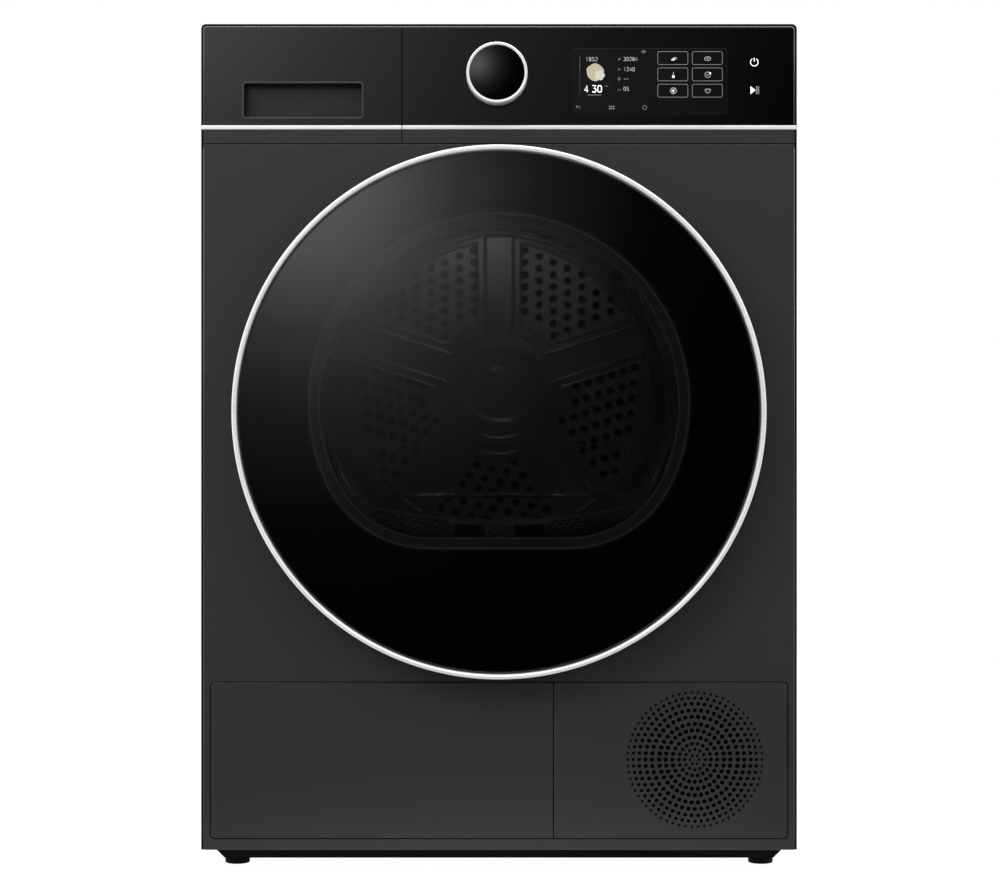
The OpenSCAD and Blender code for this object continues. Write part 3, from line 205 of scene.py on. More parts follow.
# %% Lamps
LAMPS = {
    "key": ((-2.0, -2.6, 2.1), 1.6, 57),
    "fill": ((2.3, -2.3, 1.5), 1.6, 21),
    "top": ((0.0, 0.2, 3.2), 2.0, 22),
    "rear_left": ((-2.1, 2.4, 1.7), 1.6, 34),
    "rear_right": ((2.1, 2.4, 1.9), 1.6, 34),
    "drum": ((0.06, -0.12, 0.70), 0.12, 0.05),
    "relief": ((-0.03, 0.05, 0.71), 0.08, 0.055),
    "mouth": ((0.0, -0.215, 0.62), 0.10, 0.9),
}
TARGET = {"drum": (-0.03, 0.235, 0.47), "relief": (0.0, 0.235, 0.43), "mouth": (0.0, -0.25, 0.33)}
for lamp_name, (place, size, watts) in LAMPS.items():
    lamp_data = bpy.data.lights.new(lamp_name, "AREA")
    lamp_data.size = size
    lamp_data.energy = watts
    lamp = bpy.data.objects.new(lamp_name, lamp_data)
    bpy.context.collection.objects.link(lamp)
    lamp.location = place
    aim = Vector(TARGET.get(lamp_name, (0, 0, 0.45))) - Vector(place)
    lamp.rotation_euler = aim.to_track_quat("-Z", "Y").to_euler()
    lamp.visible_camera = lamp.visible_transmission = False
    lamp.visible_glossy = lamp_name in ("drum", "relief")
bpy.context.scene.view_settings.view_transform = "Standard"
print("lamps:", ", ".join(LAMPS))

# %% [markdown]
# ## Finishes
# Hardly any real surface is one flat colour. Two effects are shared by most of the finishes here: a fine
# unevenness of colour, gloss and height, as paint and moulded plastic have, and the long scratches of rolled
# or brushed metal. Each is a node group, built once, and each material gives it its own values.


# %% Shared effects
def effect(name, asked, pattern):
    """A node group whose pattern gives a value that swings about zero, how much it tones, and a relief."""
    tree = bpy.data.node_groups.new(name, "ShaderNodeTree")
    takes = {"Color": "Color", "Roughness": "Float", "Spread": "Float", **asked}
    gives = {"Color": "Color", "Roughness": "Float", "Height": "Float"}
    for way, sockets in (("INPUT", takes), ("OUTPUT", gives)):
        for socket_name, kind in sockets.items():
            tree.interface.new_socket(socket_name, in_out=way, socket_type=f"NodeSocket{kind}")
    add, maths = node_tree(tree)
    given, out = add("NodeGroupInput").outputs, add("NodeGroupOutput").inputs
    swing, amount, relief = pattern(add, maths, given, add("ShaderNodeTexCoord").outputs["Object"])
    level = maths("MULTIPLY_ADD", swing, amount, 1.0)
    tone = add("ShaderNodeVectorMath", {0: given["Color"], 3: level}, operation="SCALE")
    rough = maths("MULTIPLY_ADD", swing, given["Spread"], given["Roughness"])
    for socket_name, node in (("Color", tone), ("Roughness", rough), ("Height", relief)):
        tree.links.new(node.outputs[0], out[socket_name])
    return tree


def unevenness(add, maths, given, place):
    cloud = add("ShaderNodeTexNoise", {"Vector": place, "Scale": 9.0, "Detail": 4.0, "Roughness": 0.6})
    speck = add("ShaderNodeTexNoise", {"Vector": place, "Scale": given["Grain"], "Detail": 3.0})
    return maths("SUBTRACT", cloud, 0.5), given["Patches"], speck


METAL_PATCHES = 0.25


def scratches(add, maths, given, place):
    lines = add("ShaderNodeVectorMath", {0: place, 1: given["Stretch"]}, operation="MULTIPLY")
    fine = add("ShaderNodeTexNoise", {"Vector": lines, "Scale": 1.0, "Detail": 3.0})
    cloud = add("ShaderNodeTexNoise", {"Vector": place, "Scale": 12.0, "Detail": 3.0})
    both = maths("ADD", fine, cloud)
    return maths("SUBTRACT", both, 1.0), METAL_PATCHES, fine


uneven = effect("uneven_surface", {"Patches": "Float", "Grain": "Float"}, unevenness)
brushed = effect("brushed_metal", {"Stretch": "Vector"}, scratches)
print("node groups:", uneven.name, brushed.name)

# %% [markdown]
# A finish is then a short line: a grey, how glossy it is, and how fine its grain is. A written colour is the
# colour as a screen shows it, so it is first turned into the linear light that a shader works with.


# %% Finishes
def grey(level, tint=(1, 1, 1)):
    """A screen grey from 0 to 255 as linear colour, with a slight tint."""
    value = ((level / 255 + 0.055) / 1.055) ** 2.4 if level > 10 else level / 255 / 12.92
    return [value * t for t in tint] + [1]


def finish(name, group, inputs, shader, bump=0.0, depth=0.0):
    """A Principled material whose colour, roughness and bump come from one of the shared effects."""
    made = bpy.data.materials.new(name)
    made.use_nodes = True
    add = node_tree(made.node_tree)[0]
    look = add("ShaderNodeGroup", inputs, node_tree=group)
    shader = {"Base Color": look.outputs["Color"], "Roughness": look.outputs["Roughness"], **shader}
    if bump:
        relief = {"Height": look.outputs["Height"], "Strength": bump, "Distance": depth}
        shader["Normal"] = add("ShaderNodeBump", relief).outputs["Normal"]
    principled = add("ShaderNodeBsdfPrincipled", shader)
    add("ShaderNodeOutputMaterial", {"Surface": principled})
    return made


def moulded(name, colour, roughness, grain=900.0, bump=0.12, patches=0.08, spread=0.08, specular=0.5):
    inputs = {"Color": colour, "Patches": patches, "Roughness": roughness, "Spread": spread, "Grain": grain}
    return finish(name, uneven, inputs, {"Specular IOR Level": specular}, bump, 0.4 * MM)


def metal(name, colour, roughness, stretch, spread=0.12, bump=0.05, metallic=1.0):
    inputs = {"Color": colour, "Roughness": roughness, "Spread": spread, "Stretch": stretch}
    return finish(name, brushed, inputs, {"Metallic": metallic}, bump, 0.3 * MM)


FINISHES = {
    "body_grey": moulded("graphite_paint", grey(44), 0.42, 1400.0, 0.10, 0.05, 0.06),
    "gloss_black": moulded("gloss_black_panel", grey(2), 0.07, 60.0, 0.004, 0.3, 0.02),
    "display_glass": moulded("display_glass", grey(11), 0.05, 60.0, 0.003, 0.2, 0.02),
    "chrome_trim": metal("satin_chrome", grey(250), 0.32, (40, 40, 900), 0.05, 0.01, 0.3),
    "black_plastic": moulded("black_plastic", grey(20), 0.45, 700.0, 0.015),
    "light_plastic": moulded("light_plastic", grey(205), 0.50, 900.0, 0.12),
    "rubber_black": moulded("black_rubber", grey(24), 0.72, 1500.0, 0.25),
    "stainless": metal("stainless_steel", grey(190), 0.38, (60, 900, 60), 0.10, 0.04, 0.9),
    "zinc_steel": metal("zinc_steel", grey(178, (1, 1.01, 1.02)), 0.45, (30, 30, 300)),
    "black_steel": moulded("black_steel", grey(10), 0.6, 700.0, 0.05, specular=0.1),
    "aluminium_fins": metal("aluminium_fins", grey(206), 0.42, (900, 60, 60)),
    "copper_pipe": metal("copper_pipe", (0.72, 0.33, 0.19, 1), 0.32, (80, 80, 300)),
    "circuit_board": moulded("circuit_board", (0.02, 0.14, 0.06, 1), 0.45, 500.0, 0.10),
    "felt": moulded("felt", grey(84, (1, 0.98, 0.95)), 0.95, 1600.0, 0.9, 0.3),
    "lock_blue": moulded("blue_plastic", (0.03, 0.13, 0.28, 1), 0.42, 900.0, 0.12),
}
# Painted shade: a near black, darker than their own finishes, for the base tray and the feet under the dryer.
PAINTED_SHADE_BLACK = moulded("shadow_black", grey(5), 0.75, 700.0, 0.05, specular=0.12)
print("finishes:", len(FINISHES))

# %% [markdown]
# Glass stays a plain dielectric, so that it keeps its place in other programs. The door's outer pane is
# smoked: its colour takes most of the light away, once on the way in and once on the way out.


# %% Glass
def glass(name, colour):
    inputs = {"Color": colour, "Patches": 0.04, "Roughness": 0.0, "Spread": 0.01, "Grain": 6.0}
    return finish(name, uneven, inputs, {"IOR": 1.5, "Transmission Weight": 1.0})


FINISHES["door_glass"] = glass("smoked_glass", grey(104))
FINISHES["bowl_glass"] = glass("bowl_glass", grey(240, (0.98, 1, 0.99)))
print("with glass:", len(FINISHES))

# %% [markdown]
# ## Shaping tools
# An operator acts on all that is selected, so a shape is first made the only one selected. Its edges and
# faces are then picked by their place or their direction, as a hand would pick them on the screen.


# %% Picking
def active(thing):
    deselect()
    thing.select_set(True)
    bpy.context.view_layer.objects.active = thing
    return thing


def pick(thing, kind, wanted):
    """Enters edit mode with only the edges or faces selected for which wanted(middle, direction) is true."""
    active(thing)
    bpy.ops.object.mode_set(mode="EDIT")
    bpy.ops.mesh.select_mode(type=kind)
    bpy.ops.mesh.select_all(action="DESELECT")
    shape = bmesh.from_edit_mesh(thing.data)
    if kind == "FACE":
        for face in shape.faces:
            face.select_set(bool(wanted(face.calc_center_median(), face.normal)))
    else:
        for edge in shape.edges:
            a, b = (v.co for v in edge.verts)
            edge.select_set(bool(wanted((a + b) / 2, (b - a).normalized())))
    bmesh.update_edit_mesh(thing.data)


def edit_all(thing):
    """Enters edit mode with the whole mesh selected."""
    active(thing)
    bpy.ops.object.mode_set(mode="EDIT")
    bpy.ops.mesh.select_all(action="SELECT")


def done():
    bpy.ops.object.mode_set(mode="OBJECT")


# %% [markdown]
# Nothing that is made has a truly sharp edge, and a rounded one catches a line of light. A bevel rounds the
# picked edges only, or every edge that is sharper than an angle.


# %% Rounding
def round_edges(thing, wanted, width, segments=4):
    pick(thing, "EDGE", wanted)
    bpy.ops.mesh.bevel(offset=width, segments=segments, affect="EDGES", clamp_overlap=True)
    done()
    return thing


def apply_modifiers(thing):
    active(thing)
    for modifier in list(thing.modifiers):
        bpy.ops.object.modifier_apply(modifier=modifier.name)
    return thing


def soften(thing, width, segments=2, angle=40):
    """Rounds every edge sharper than an angle."""
    bevel = thing.modifiers.new("soften", "BEVEL")
    bevel.width = width
    bevel.segments = segments
    bevel.limit_method = "ANGLE"
    bevel.angle_limit = math.radians(angle)
    bevel.miter_outer = "MITER_ARC"
    return apply_modifiers(thing)


# %% [markdown]
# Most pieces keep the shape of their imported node. Its mesh is copied, loose triangles are merged and flat
# faces joined up, so that a bevel runs cleanly along the edges. Each piece is then dressed: it gets its
# shading and its material, and rides on the body of its node.

# %% Copying and dressing
WELD = 1e-6


def paint(thing, material):
    thing.data.materials.clear()
    thing.data.materials.append(material)


def copied(node, name, flats=True):
    """A copy of a CAD node's mesh, its loose triangles merged and, if wanted, its flat faces joined up."""
    thing = frame["nodes"][node].copy()
    thing.data = thing.data.copy()
    thing.data.materials.clear()
    thing.parent = None
    thing.matrix_world = Matrix.Identity(4)
    bpy.context.collection.objects.link(thing)
    thing.name = thing.data.name = name
    edit_all(thing)
    bpy.ops.mesh.remove_doubles(threshold=WELD)
    if flats:
        bpy.ops.mesh.dissolve_limited(angle_limit=math.radians(0.5))
    done()
    return thing


def dress(thing, slot_name, body, *nodes, angle=35):
    """Finishes a piece: smooth shading, its material, the body it rides on and the nodes it stands for."""
    active(thing)
    bpy.ops.object.shade_smooth_by_angle(angle=math.radians(angle))
    weighted = thing.modifiers.new("flat_faces", "WEIGHTED_NORMAL")
    weighted.keep_sharp = True
    apply_modifiers(thing)
    paint(thing, FINISHES[slot_name])
    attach(thing, body)
    if nodes:
        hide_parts(*nodes)
    return thing


def refine(node, name, width, segments, slot_name, body="root", sharp=40, smooth=35):
    """A copied node with rounded edges and its finish, in the node's own place."""
    return dress(soften(copied(node, name), width, segments, sharp), slot_name, body, node, angle=smooth)


# %% [markdown]
# ## Every imported node gets a real finish
# Nodes that keep their imported shape are only given the material of their slot; the rear shield's zinc is
# painted dark as black steel instead, as painted shade. Those that get a better shape below are hidden by the
# piece that stands for them.

# %% Materials of the imported nodes
slot_of = {part["node"]: part["material_slot"] for part in record["subparts"]}
for node, thing in frame["nodes"].items():
    # The rear shield is zinc, but it is painted dark as black steel: painted shade.
    paint(thing, FINISHES["black_steel" if node == "rear_shield" else slot_of[node]])
print("nodes:", len(slot_of))

# %% [markdown]
# ## Cabinet
# Folded sheet steel has no sharp edge: each fold is a small round that catches a line of light, and that is
# what makes the front read as metal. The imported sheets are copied, merged, and given those rounds by a bevel.

# %% Painted sheets
SHEETS = {"worktop": 1.6, "left_side_panel": 0.6, "right_side_panel": 0.6, "rear_duct_cover": 0.6}
for node, width in SHEETS.items():
    refine(node, node + "_painted", width * MM, 3, "body_grey")
# The rear sheet is full of holes, and one polygon can't go round all of them: it keeps its triangles.
dress(copied("rear_panel", "rear_panel_painted", flats=False), "body_grey", "root", "rear_panel")

panel = copied("front_panel", "front_panel_painted")
CORNER = 5 * MM
NEAR = 0.1 * MM
PANEL_FOLD = 1.3 * MM


def outer_front_edge(middle, direction):
    """An edge in the front plane that belongs to the panel's outline, and not to one of its openings."""
    aside = abs(middle.x) - panel_hi.x + NEAR
    beyond = max(middle.z - panel_hi.z, panel_lo.z - middle.z) + NEAR
    outside = aside > 0 or beyond > 0 or (aside > -CORNER and beyond > NEAR - CORNER)
    return outside and abs(middle.y - face_y) < NEAR / 10 and abs(direction.y) < 0.01


round_edges(panel, outer_front_edge, PANEL_FOLD, 3)
dress(panel, "body_grey", "root", "front_panel")
print("sheets:", len(SHEETS) + 2)

# %% [markdown]
# ## Control panel
# The fascia is one gloss moulding with a display pane let into it, a chrome strip below and a painted band
# under that. The drawer of the water tank continues all three on the left, past a narrow seam.

# %% Fascia, strips and band
trim_lo, trim_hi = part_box("control_trim")
PANEL_EDGE = 0.45 * MM
refine("control_fascia", "fascia_moulding", PANEL_EDGE, 3, "gloss_black")
refine("control_band", "band_painted", PANEL_EDGE, 2, "body_grey")
refine("display_window", "display_pane", 0.3 * MM, 2, "display_glass")
for node, body in (("control_trim", "root"), ("tank_trim", "tank")):
    refine(node, node + "_strip", 0.25 * MM, 3, "chrome_trim", body, sharp=60)
print("strip height in mm:", round((trim_hi.z - trim_lo.z) * 1000, 1))

# %% [markdown]
# The drawer's front is one moulding in two colours: gloss black above the strip and painted below it. The
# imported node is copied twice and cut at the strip, each copy keeps one side of the cut.


# %% Front of the tank drawer
def keep_side(thing, z, above):
    """Cuts a shape at a height, closes the cut, and keeps one side."""
    edit_all(thing)
    bpy.ops.mesh.bisect(
        plane_co=(0, 0, z), plane_no=(0, 0, 1), use_fill=True, clear_inner=above, clear_outer=not above
    )
    done()
    return thing


split_z = (trim_lo.z + trim_hi.z) / 2
drawer_front = keep_side(copied("tank_front", "tank_front_moulding"), split_z, True)
drawer_band = keep_side(copied("tank_front", "tank_band_painted"), split_z, False)
for half, steps, slot_name in ((drawer_front, 3, "gloss_black"), (drawer_band, 2, "body_grey")):
    dress(soften(half, PANEL_EDGE, steps), slot_name, "tank", "tank_front")
print("drawer front split at z", round(split_z, 4))

# %% [markdown]
# A new shape often starts as a block between two corners. Its place and size go into its mesh at once, so the
# object itself stays at the origin, where every joint of the part expects it.


# %% Blocks
def settle(name):
    """Names the active object and applies its place, turn and size to its mesh."""
    thing = active(bpy.context.object)
    thing.name = thing.data.name = name
    bpy.ops.object.transform_apply(location=True, rotation=True, scale=True)
    return thing


def block(name, lo, hi):
    """A box between two corners."""
    lo, hi = Vector(lo), Vector(hi)
    deselect()
    bpy.ops.mesh.primitive_cube_add(size=1, location=(lo + hi) / 2)
    bpy.context.object.scale = hi - lo
    return settle(name)


def along(axis):
    """True for an edge that runs along an axis: 0 is X, 1 is Y, 2 is Z."""
    return lambda middle, direction: abs(direction[axis]) > 0.999


# %% [markdown]
# The grip is a pocket in the gloss front with a satin grey lining, lighter than the gloss: painted reflection
# of the front's glow. The lining starts as a block that fills the pocket, its corners are rounded, its front is
# inset and pushed back to the pocket's depth. A painted highlight, a thin pale line that glows a little, is
# drawn round its mouth later, with the marks.

# %% Lining of the grip
pocket = next(o["box_m"] for o in record["physics"]["openings"] if o["name"] == "grip_pocket")
WALL = 1.3 * MM
POCKET_DEPTH = 15.9 * MM
POCKET_SIDE = 1.9 * MM
POCKET_RISE = 1.4 * MM
POCKET_R = 3 * MM
grip_lo = (pocket[0][0] - POCKET_SIDE, face_y, pocket[0][2] - POCKET_RISE)
grip_hi = (pocket[1][0] + POCKET_SIDE, face_y + POCKET_DEPTH, pocket[1][2] + POCKET_RISE)
liner = block("grip_liner", grip_lo, grip_hi)
round_edges(liner, along(1), POCKET_R, 5)
pick(liner, "FACE", lambda middle, normal: normal.y < -0.9)
bpy.ops.mesh.inset(thickness=WALL)
bpy.ops.mesh.extrude_region_move(TRANSFORM_OT_translate={"value": (0, POCKET_DEPTH - 0.6 * MM, 0)})
done()
dress(soften(liner, 0.3 * MM, 2), "gloss_black", "tank")
# Painted reflection: the lining is a grey lighter than the gloss, standing in for the glow that the front
# reflects.
liner.data.materials[0] = moulded("grip_lining", grey(34), 0.34, 700.0, 0.01)
print("grip in mm:", [round((b - a) * 1000, 1) for a, b in zip(grip_lo, grip_hi)])

# %% [markdown]
# Round pieces are turned, as on a lathe: a point is extruded along a profile, and the profile is spun about
# an axis that runs from front to back. The small rounds in a profile are quarter ellipses.


# %% Lathe
def lathe(name, profile, cx=0.0, cz=0.0, steps=96):
    """Spins a profile of (radius, y) about the axis that runs along Y through cx and cz."""
    deselect()
    bpy.ops.mesh.primitive_plane_add(size=MM, location=(cx + profile[0][0], profile[0][1], cz))
    thing = settle(name)
    edit_all(thing)
    bpy.ops.mesh.select_mode(type="VERT")
    bpy.ops.mesh.merge(type="CENTER")
    for (r0, y0), (r1, y1) in zip(profile, profile[1:]):
        bpy.ops.mesh.extrude_vertices_move(TRANSFORM_OT_translate={"value": (r1 - r0, y1 - y0, 0)})
    bpy.ops.mesh.select_all(action="SELECT")
    bpy.ops.mesh.spin(steps=steps, angle=math.tau, center=(cx, 0, cz), axis=(0, 1, 0))
    bpy.ops.mesh.select_all(action="SELECT")
    bpy.ops.mesh.remove_doubles(threshold=WELD)
    bpy.ops.mesh.normals_make_consistent(inside=False)
    done()
    return thing


def turn(start, r0, y0, r1, y1, steps):
    """A quarter ellipse from one point of a profile to the next; start is "r" or "y", the way it leaves."""
    points = []
    for i in range(1, steps + 1):
        a = math.pi / 2 * i / steps
        s, c = math.sin(a), 1 - math.cos(a)
        u, v = (s, c) if start == "r" else (c, s)
        points.append((r0 + (r1 - r0) * u, y0 + (y1 - y0) * v))
    return points


# %% [markdown]
# The knob is a chrome ring around a black cap. Both are turned shapes, so each is a profile spun about the
# knob's own axis: the ring is rounded to the front, and the cap is a shallow dome inside it.

# %% Knob
knob_lo, knob_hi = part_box("knob")
knob_x = (knob_lo.x + knob_hi.x) / 2
knob_z = (knob_lo.z + knob_hi.z) / 2
knob_r = (knob_hi.x - knob_lo.x) / 2
knob_front = knob_lo.y
RING = 3.1 * MM
ring_inner = knob_r - RING
ring_mid = ring_inner + RING / 2
inner_y = knob_front + 1.2 * MM
outer_y = knob_front + 2.2 * MM
foot_y = face_y - 0.6 * MM
wall_r = knob_r - 2.5 * MM
ring_profile = [(ring_inner, knob_front + 4 * MM), (ring_inner, inner_y)]
ring_profile += turn("y", ring_inner, inner_y, ring_mid, knob_front, 5)
ring_profile += turn("r", ring_mid, knob_front, knob_r, outer_y, 6)
ring_profile += [(knob_r, foot_y), (wall_r, foot_y), (wall_r, knob_front + 4 * MM)]
dress(lathe("knob_ring", ring_profile + ring_profile[:1], knob_x, knob_z, 128), "chrome_trim", "knob", "knob")
cap_r = ring_inner - 0.1 * MM
cap_y = knob_front + 5 * MM
STEM_R = 3 * MM
CAP_RISE = 1.6 * MM
cap_profile = [(cap_r * i / 14, knob_front + 0.3 * MM + CAP_RISE * (i / 14) ** 2) for i in range(15)]
cap_profile += [(cap_r, cap_y), (STEM_R, cap_y), (STEM_R, knob_hi.y), (0, knob_hi.y)]
dress(lathe("knob_cap", cap_profile, knob_x, knob_z, 96), "gloss_black", "knob", "knob")
print("knob radius", round(knob_r, 4))

# %% [markdown]
# ## Display and touch keys
# Everything that the display shows is printed or lit flat on the pane. Each mark is a thin line or a small
# flat shape, about a tenth of a millimetre proud: lines are round bars, pressed flat onto the pane.

# %% Marks on the panel
PRINT = 0.1 * MM
FLAT = 0.12


def lit(name, colour, strength):
    """A printed mark that also glows a little, as a lit display does; on the window lining and the grip's mouth
    the glow is painted light.
    """
    made = moulded(name, colour, 0.5, 600.0, 0.02)
    shader = next(n for n in made.node_tree.nodes if n.type == "BSDF_PRINCIPLED")
    shader.inputs["Emission Color"].default_value = colour
    shader.inputs["Emission Strength"].default_value = strength
    return made


MARKS = {
    # The window lining and its edge glow faintly: painted light, where hardly any light reaches them.
    "lining": lit("window_lining", grey(96), 0.26),
    "lining_edge": lit("window_lining_edge", grey(120), 0.35),
    # Lip, fold and low are painted highlights along the sheets' folds.
    "lip": moulded("lip_light", grey(112), 0.42, 1400.0, 0.05),
    "fold": moulded("fold_light", grey(78), 0.42, 1400.0, 0.05),
    "low": moulded("side_light", grey(80), 0.42, 1400.0, 0.05),
    "bright": lit("mark_bright", grey(250), 0.95),
    "text": lit("mark_text", grey(190), 0.35),
    "key": lit("mark_key", grey(112), 0.6),
    "soft": lit("mark_soft", grey(120), 0.7),
    # A painted highlight for the grip's mouth, which also glows a little.
    "dim": lit("mark_dim", grey(58), 0.5),
    # Painted shade: the dark line round the panel's outline.
    "ink": moulded("edge_shade", grey(3), 0.8, 700.0, 0.02, specular=0.1),
    "faint": lit("mark_faint", grey(60), 0.5),
    "sand": lit("mark_sand", (0.36, 0.31, 0.23, 1), 0.6),
    "pale": lit("mark_pale", (0.44, 0.42, 0.37, 1), 0.6),
}
print("marks:", len(MARKS))

# %% [markdown]
# A line is drawn as a curve, because a curve has its own width and can fill its own outline. It is made a
# mesh afterwards, so that it can be pressed flat and kept like every other piece.


# %% Drawing tools
def drawn(name, lines, y, tilt=0.0, **settings):
    """A mesh from a curve through lines of places, each with True if it closes, set at a depth."""
    curve = bpy.data.curves.new(name, "CURVE")
    for key, value in settings.items():
        setattr(curve, key, value)
    for places, closed in lines:
        spline = curve.splines.new("POLY")
        spline.points.add(len(places) - 1)
        for point, place in zip(spline.points, places):
            point.co = (*place, 1)
        spline.use_cyclic_u = closed
    drawing = bpy.data.objects.new(name, curve)
    bpy.context.collection.objects.link(drawing)
    drawing.rotation_euler.x = tilt
    drawing.location.y = y
    active(drawing)
    bpy.ops.object.convert(target="MESH")
    return settle(name)


def mark_piece(thing, mark, body="root"):
    edit_all(thing)
    bpy.ops.mesh.remove_doubles(threshold=WELD)
    done()
    paint(thing, MARKS[mark])
    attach(thing, body)
    return thing


def tube_along(name, lines, y, radius, resolution=4, **settings):
    """Round bars that follow lines of (x, z), each with True if it closes, at one depth."""
    spots = [([(x, y, z) for x, z in points], closed) for points, closed in lines]
    return drawn(name, spots, 0, dimensions="3D", bevel_depth=radius, bevel_resolution=resolution, **settings)


def line_art(name, lines, width, mark, body="root"):
    """Draws lines of (x, z) as thin bars and presses them flat onto the panel's front plane."""
    thing = tube_along(name, lines, face_y, width / 2, 0, use_fill_caps=True)
    edit_all(thing)
    bpy.ops.transform.resize(value=(1, FLAT, 1), center_override=(0, face_y, 0))
    done()
    return mark_piece(thing, mark, body)


def solid_marks(name, outlines, mark, y=face_y, half=PRINT / 3, body="root"):
    """Fills closed outlines, each a list of (x, z) in metres, as one flat piece."""
    lines = [([(x, z, 0) for x, z in points], True) for points in outlines]
    filled = drawn(name, lines, y, math.pi / 2, dimensions="2D", fill_mode="BOTH", extrude=half)
    return mark_piece(filled, mark, body)


# %% [markdown]
# Six touch keys have a thin round-cornered frame each, in two columns and three rows. The mouth of the grip
# gets such a line too: a painted highlight that glows a little, where its rounded edge would catch the light.


# %% Touch keys
def arc(cx, cz, r, start, end, steps=12):
    """Places along an arc, between two directions in degrees."""
    turns = [math.radians(start + (end - start) * i / steps) for i in range(steps + 1)]
    return [(cx + r * math.cos(a), cz + r * math.sin(a)) for a in turns]


def frame_line(x0, z0, x1, z1, r):
    """A rectangle with round corners."""
    return (
        arc(x1 - r, z1 - r, r, 0, 90, 4) + arc(x0 + r, z1 - r, r, 90, 180, 4)
        + arc(x0 + r, z0 + r, r, 180, 270, 4) + arc(x1 - r, z0 + r, r, 270, 360, 4)
    )


pane_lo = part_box("display_window")[0]


def at(x, z):
    """A place on the display in millimetres from the pane's lower left corner."""
    return pane_lo.x + x * MM, pane_lo.z + z * MM


KEY_W = 30 * MM
KEY_H = 12.9 * MM
keys = []
for column in (85.5, 120.0):
    for row in (16.5, 32.8, 49.1):
        x, z = at(column, row)
        keys.append((frame_line(x, z, x + KEY_W, z + KEY_H, 1.6 * MM), True))
line_art("touch_keys", keys, 0.55 * MM, "key")
# Painted highlight round the grip's mouth, where its rounded edge would catch the light.
grip_highlight_line = frame_line(grip_lo[0], grip_lo[2], grip_hi[0], grip_hi[2], POCKET_R)
line_art("grip_outline", [(grip_highlight_line, True)], 0.9 * MM, "dim", "tank")
print("touch keys:", len(keys))

# %% [markdown]
# The sheets' folds turn away from the light at the outline: they show as a dark edge with a thin light line
# in it. Both are drawn, as painted shade and painted highlights, because the real folds are too small to show
# it by themselves.


# %% Light along the folds
def over_top(x, z, r):
    """The line over the panel's top, from the left corner to the right one, both rounded."""
    left, right = (arc(side * (x - r), z - r, r, 90, 90 - 90 * side, 6) for side in (-1, 1))
    return left[::-1] + right


TOP_R = 3 * MM
SHADE_R = 4 * MM
SHADE_IN = 1.05 * MM
top_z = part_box("worktop")[1].z
edge_x = panel_hi.x - 2.5 * MM
edge_top = top_z - 2.8 * MM
# Painted highlight along the lip over the top.
line_art("lip_line_top", [(over_top(edge_x, edge_top, TOP_R), False)], 1.5 * MM, "lip")
outer_x = panel_hi.x - SHADE_IN
arch = over_top(outer_x, top_z - SHADE_IN, SHADE_R)
low_z = panel_lo.z + 1 * MM
# Painted shade along the outline, where the folds turn away from the light.
line_art("edge_shade", [([(-outer_x, low_z)] + arch + [(outer_x, low_z)], False)], 2.0 * MM, "ink")
# Painted highlights run down each side.
SIDE_LINES = {
    "lip_line_": (edge_top - TOP_R, trim_hi.z + 0.6 * MM, 1.4 * MM, "fold"),
    "side_line_": (panel_hi.z - 4 * MM, panel_lo.z + 4 * MM, 1.3 * MM, "low"),
}
for x, label in ((-edge_x, "left"), (edge_x, "right")):
    for name, (z0, z1, width, mark) in SIDE_LINES.items():
        line_art(name + label, [([(x, z0), (x, z1)], False)], width, mark)
print("lines down each side:", len(SIDE_LINES))

# %% [markdown]
# The figures are strokes on a grid one unit wide and one high, as on a simple display. They are plain numbers
# that stand where the display shows its times and settings.

# %% Figures
STROKES = {
    "0": [[(0, 0.2), (0, 0.8), (0.25, 1), (0.75, 1), (1, 0.8), (1, 0.2), (0.75, 0), (0.25, 0), (0, 0.2)]],
    "1": [[(0.2, 0.8), (0.55, 1), (0.55, 0)]],
    "2": [[(0, 0.85), (0.25, 1), (0.75, 1), (1, 0.8), (1, 0.6), (0, 0), (1, 0)]],
    "3": [[(0, 1), (1, 1), (0.45, 0.58), (0.8, 0.52), (1, 0.35), (1, 0.18), (0.75, 0), (0.2, 0), (0, 0.12)]],
    "4": [[(0.72, 0), (0.72, 1), (0, 0.28), (1, 0.28)]],
    "5": [[(0.95, 1), (0.1, 1), (0.05, 0.55), (0.7, 0.6), (1, 0.4), (1, 0.2), (0.75, 0), (0, 0)]],
    "8": [
        [(0.25, 0.5), (0, 0.7), (0.2, 1), (0.8, 1), (1, 0.7), (0.75, 0.5), (0.25, 0.5), (0, 0.3), (0, 0.15),
         (0.25, 0), (0.75, 0), (1, 0.15), (1, 0.3), (0.75, 0.5)],
    ],
    "-": [[(0.1, 0.45), (0.9, 0.45)]],
}


def figures(text, x, z, height):
    """The strokes of plain figures, from the lower left corner of the first one."""
    lines = []
    for figure in text:
        for stroke in STROKES.get(figure, []):
            lines.append(([at(x + 0.56 * height * u, z + height * v) for u, v in stroke], False))
        x += 0.84 * height
    return lines


line_art("clock_figures", figures("4", 12.3, 21.6, 6.5) + figures("30", 20.2, 21.6, 6.5), 1.05 * MM, "bright")
rows = figures("1852", 13.8, 52.6, 3.7) + figures("30284", 51.5, 52.9, 3.5) + figures("1240", 51.5, 42.6, 3.5)
rows += figures("--", 51.5, 33.2, 3.3) + figures("05", 51.5, 23.1, 3.5)
line_art("row_figures", rows, 0.52 * MM, "text")
print("strokes in the rows:", len(rows))

# %% [markdown]
# The signs are built the same way, from bows, short lines and a few filled shapes, each about 6 mm across.
# The steps of a path are millimetres from the middle of its sign.


# %% Signs on the keys
def bow(x, z, r, start=0, end=360, steps=20):
    return arc(*at(x, z), r * MM, start, end, steps)


def path(x, z, *steps, closed=False):
    """A line through points given from a centre on the display."""
    return [at(x + u, z + v) for u, v in steps], closed


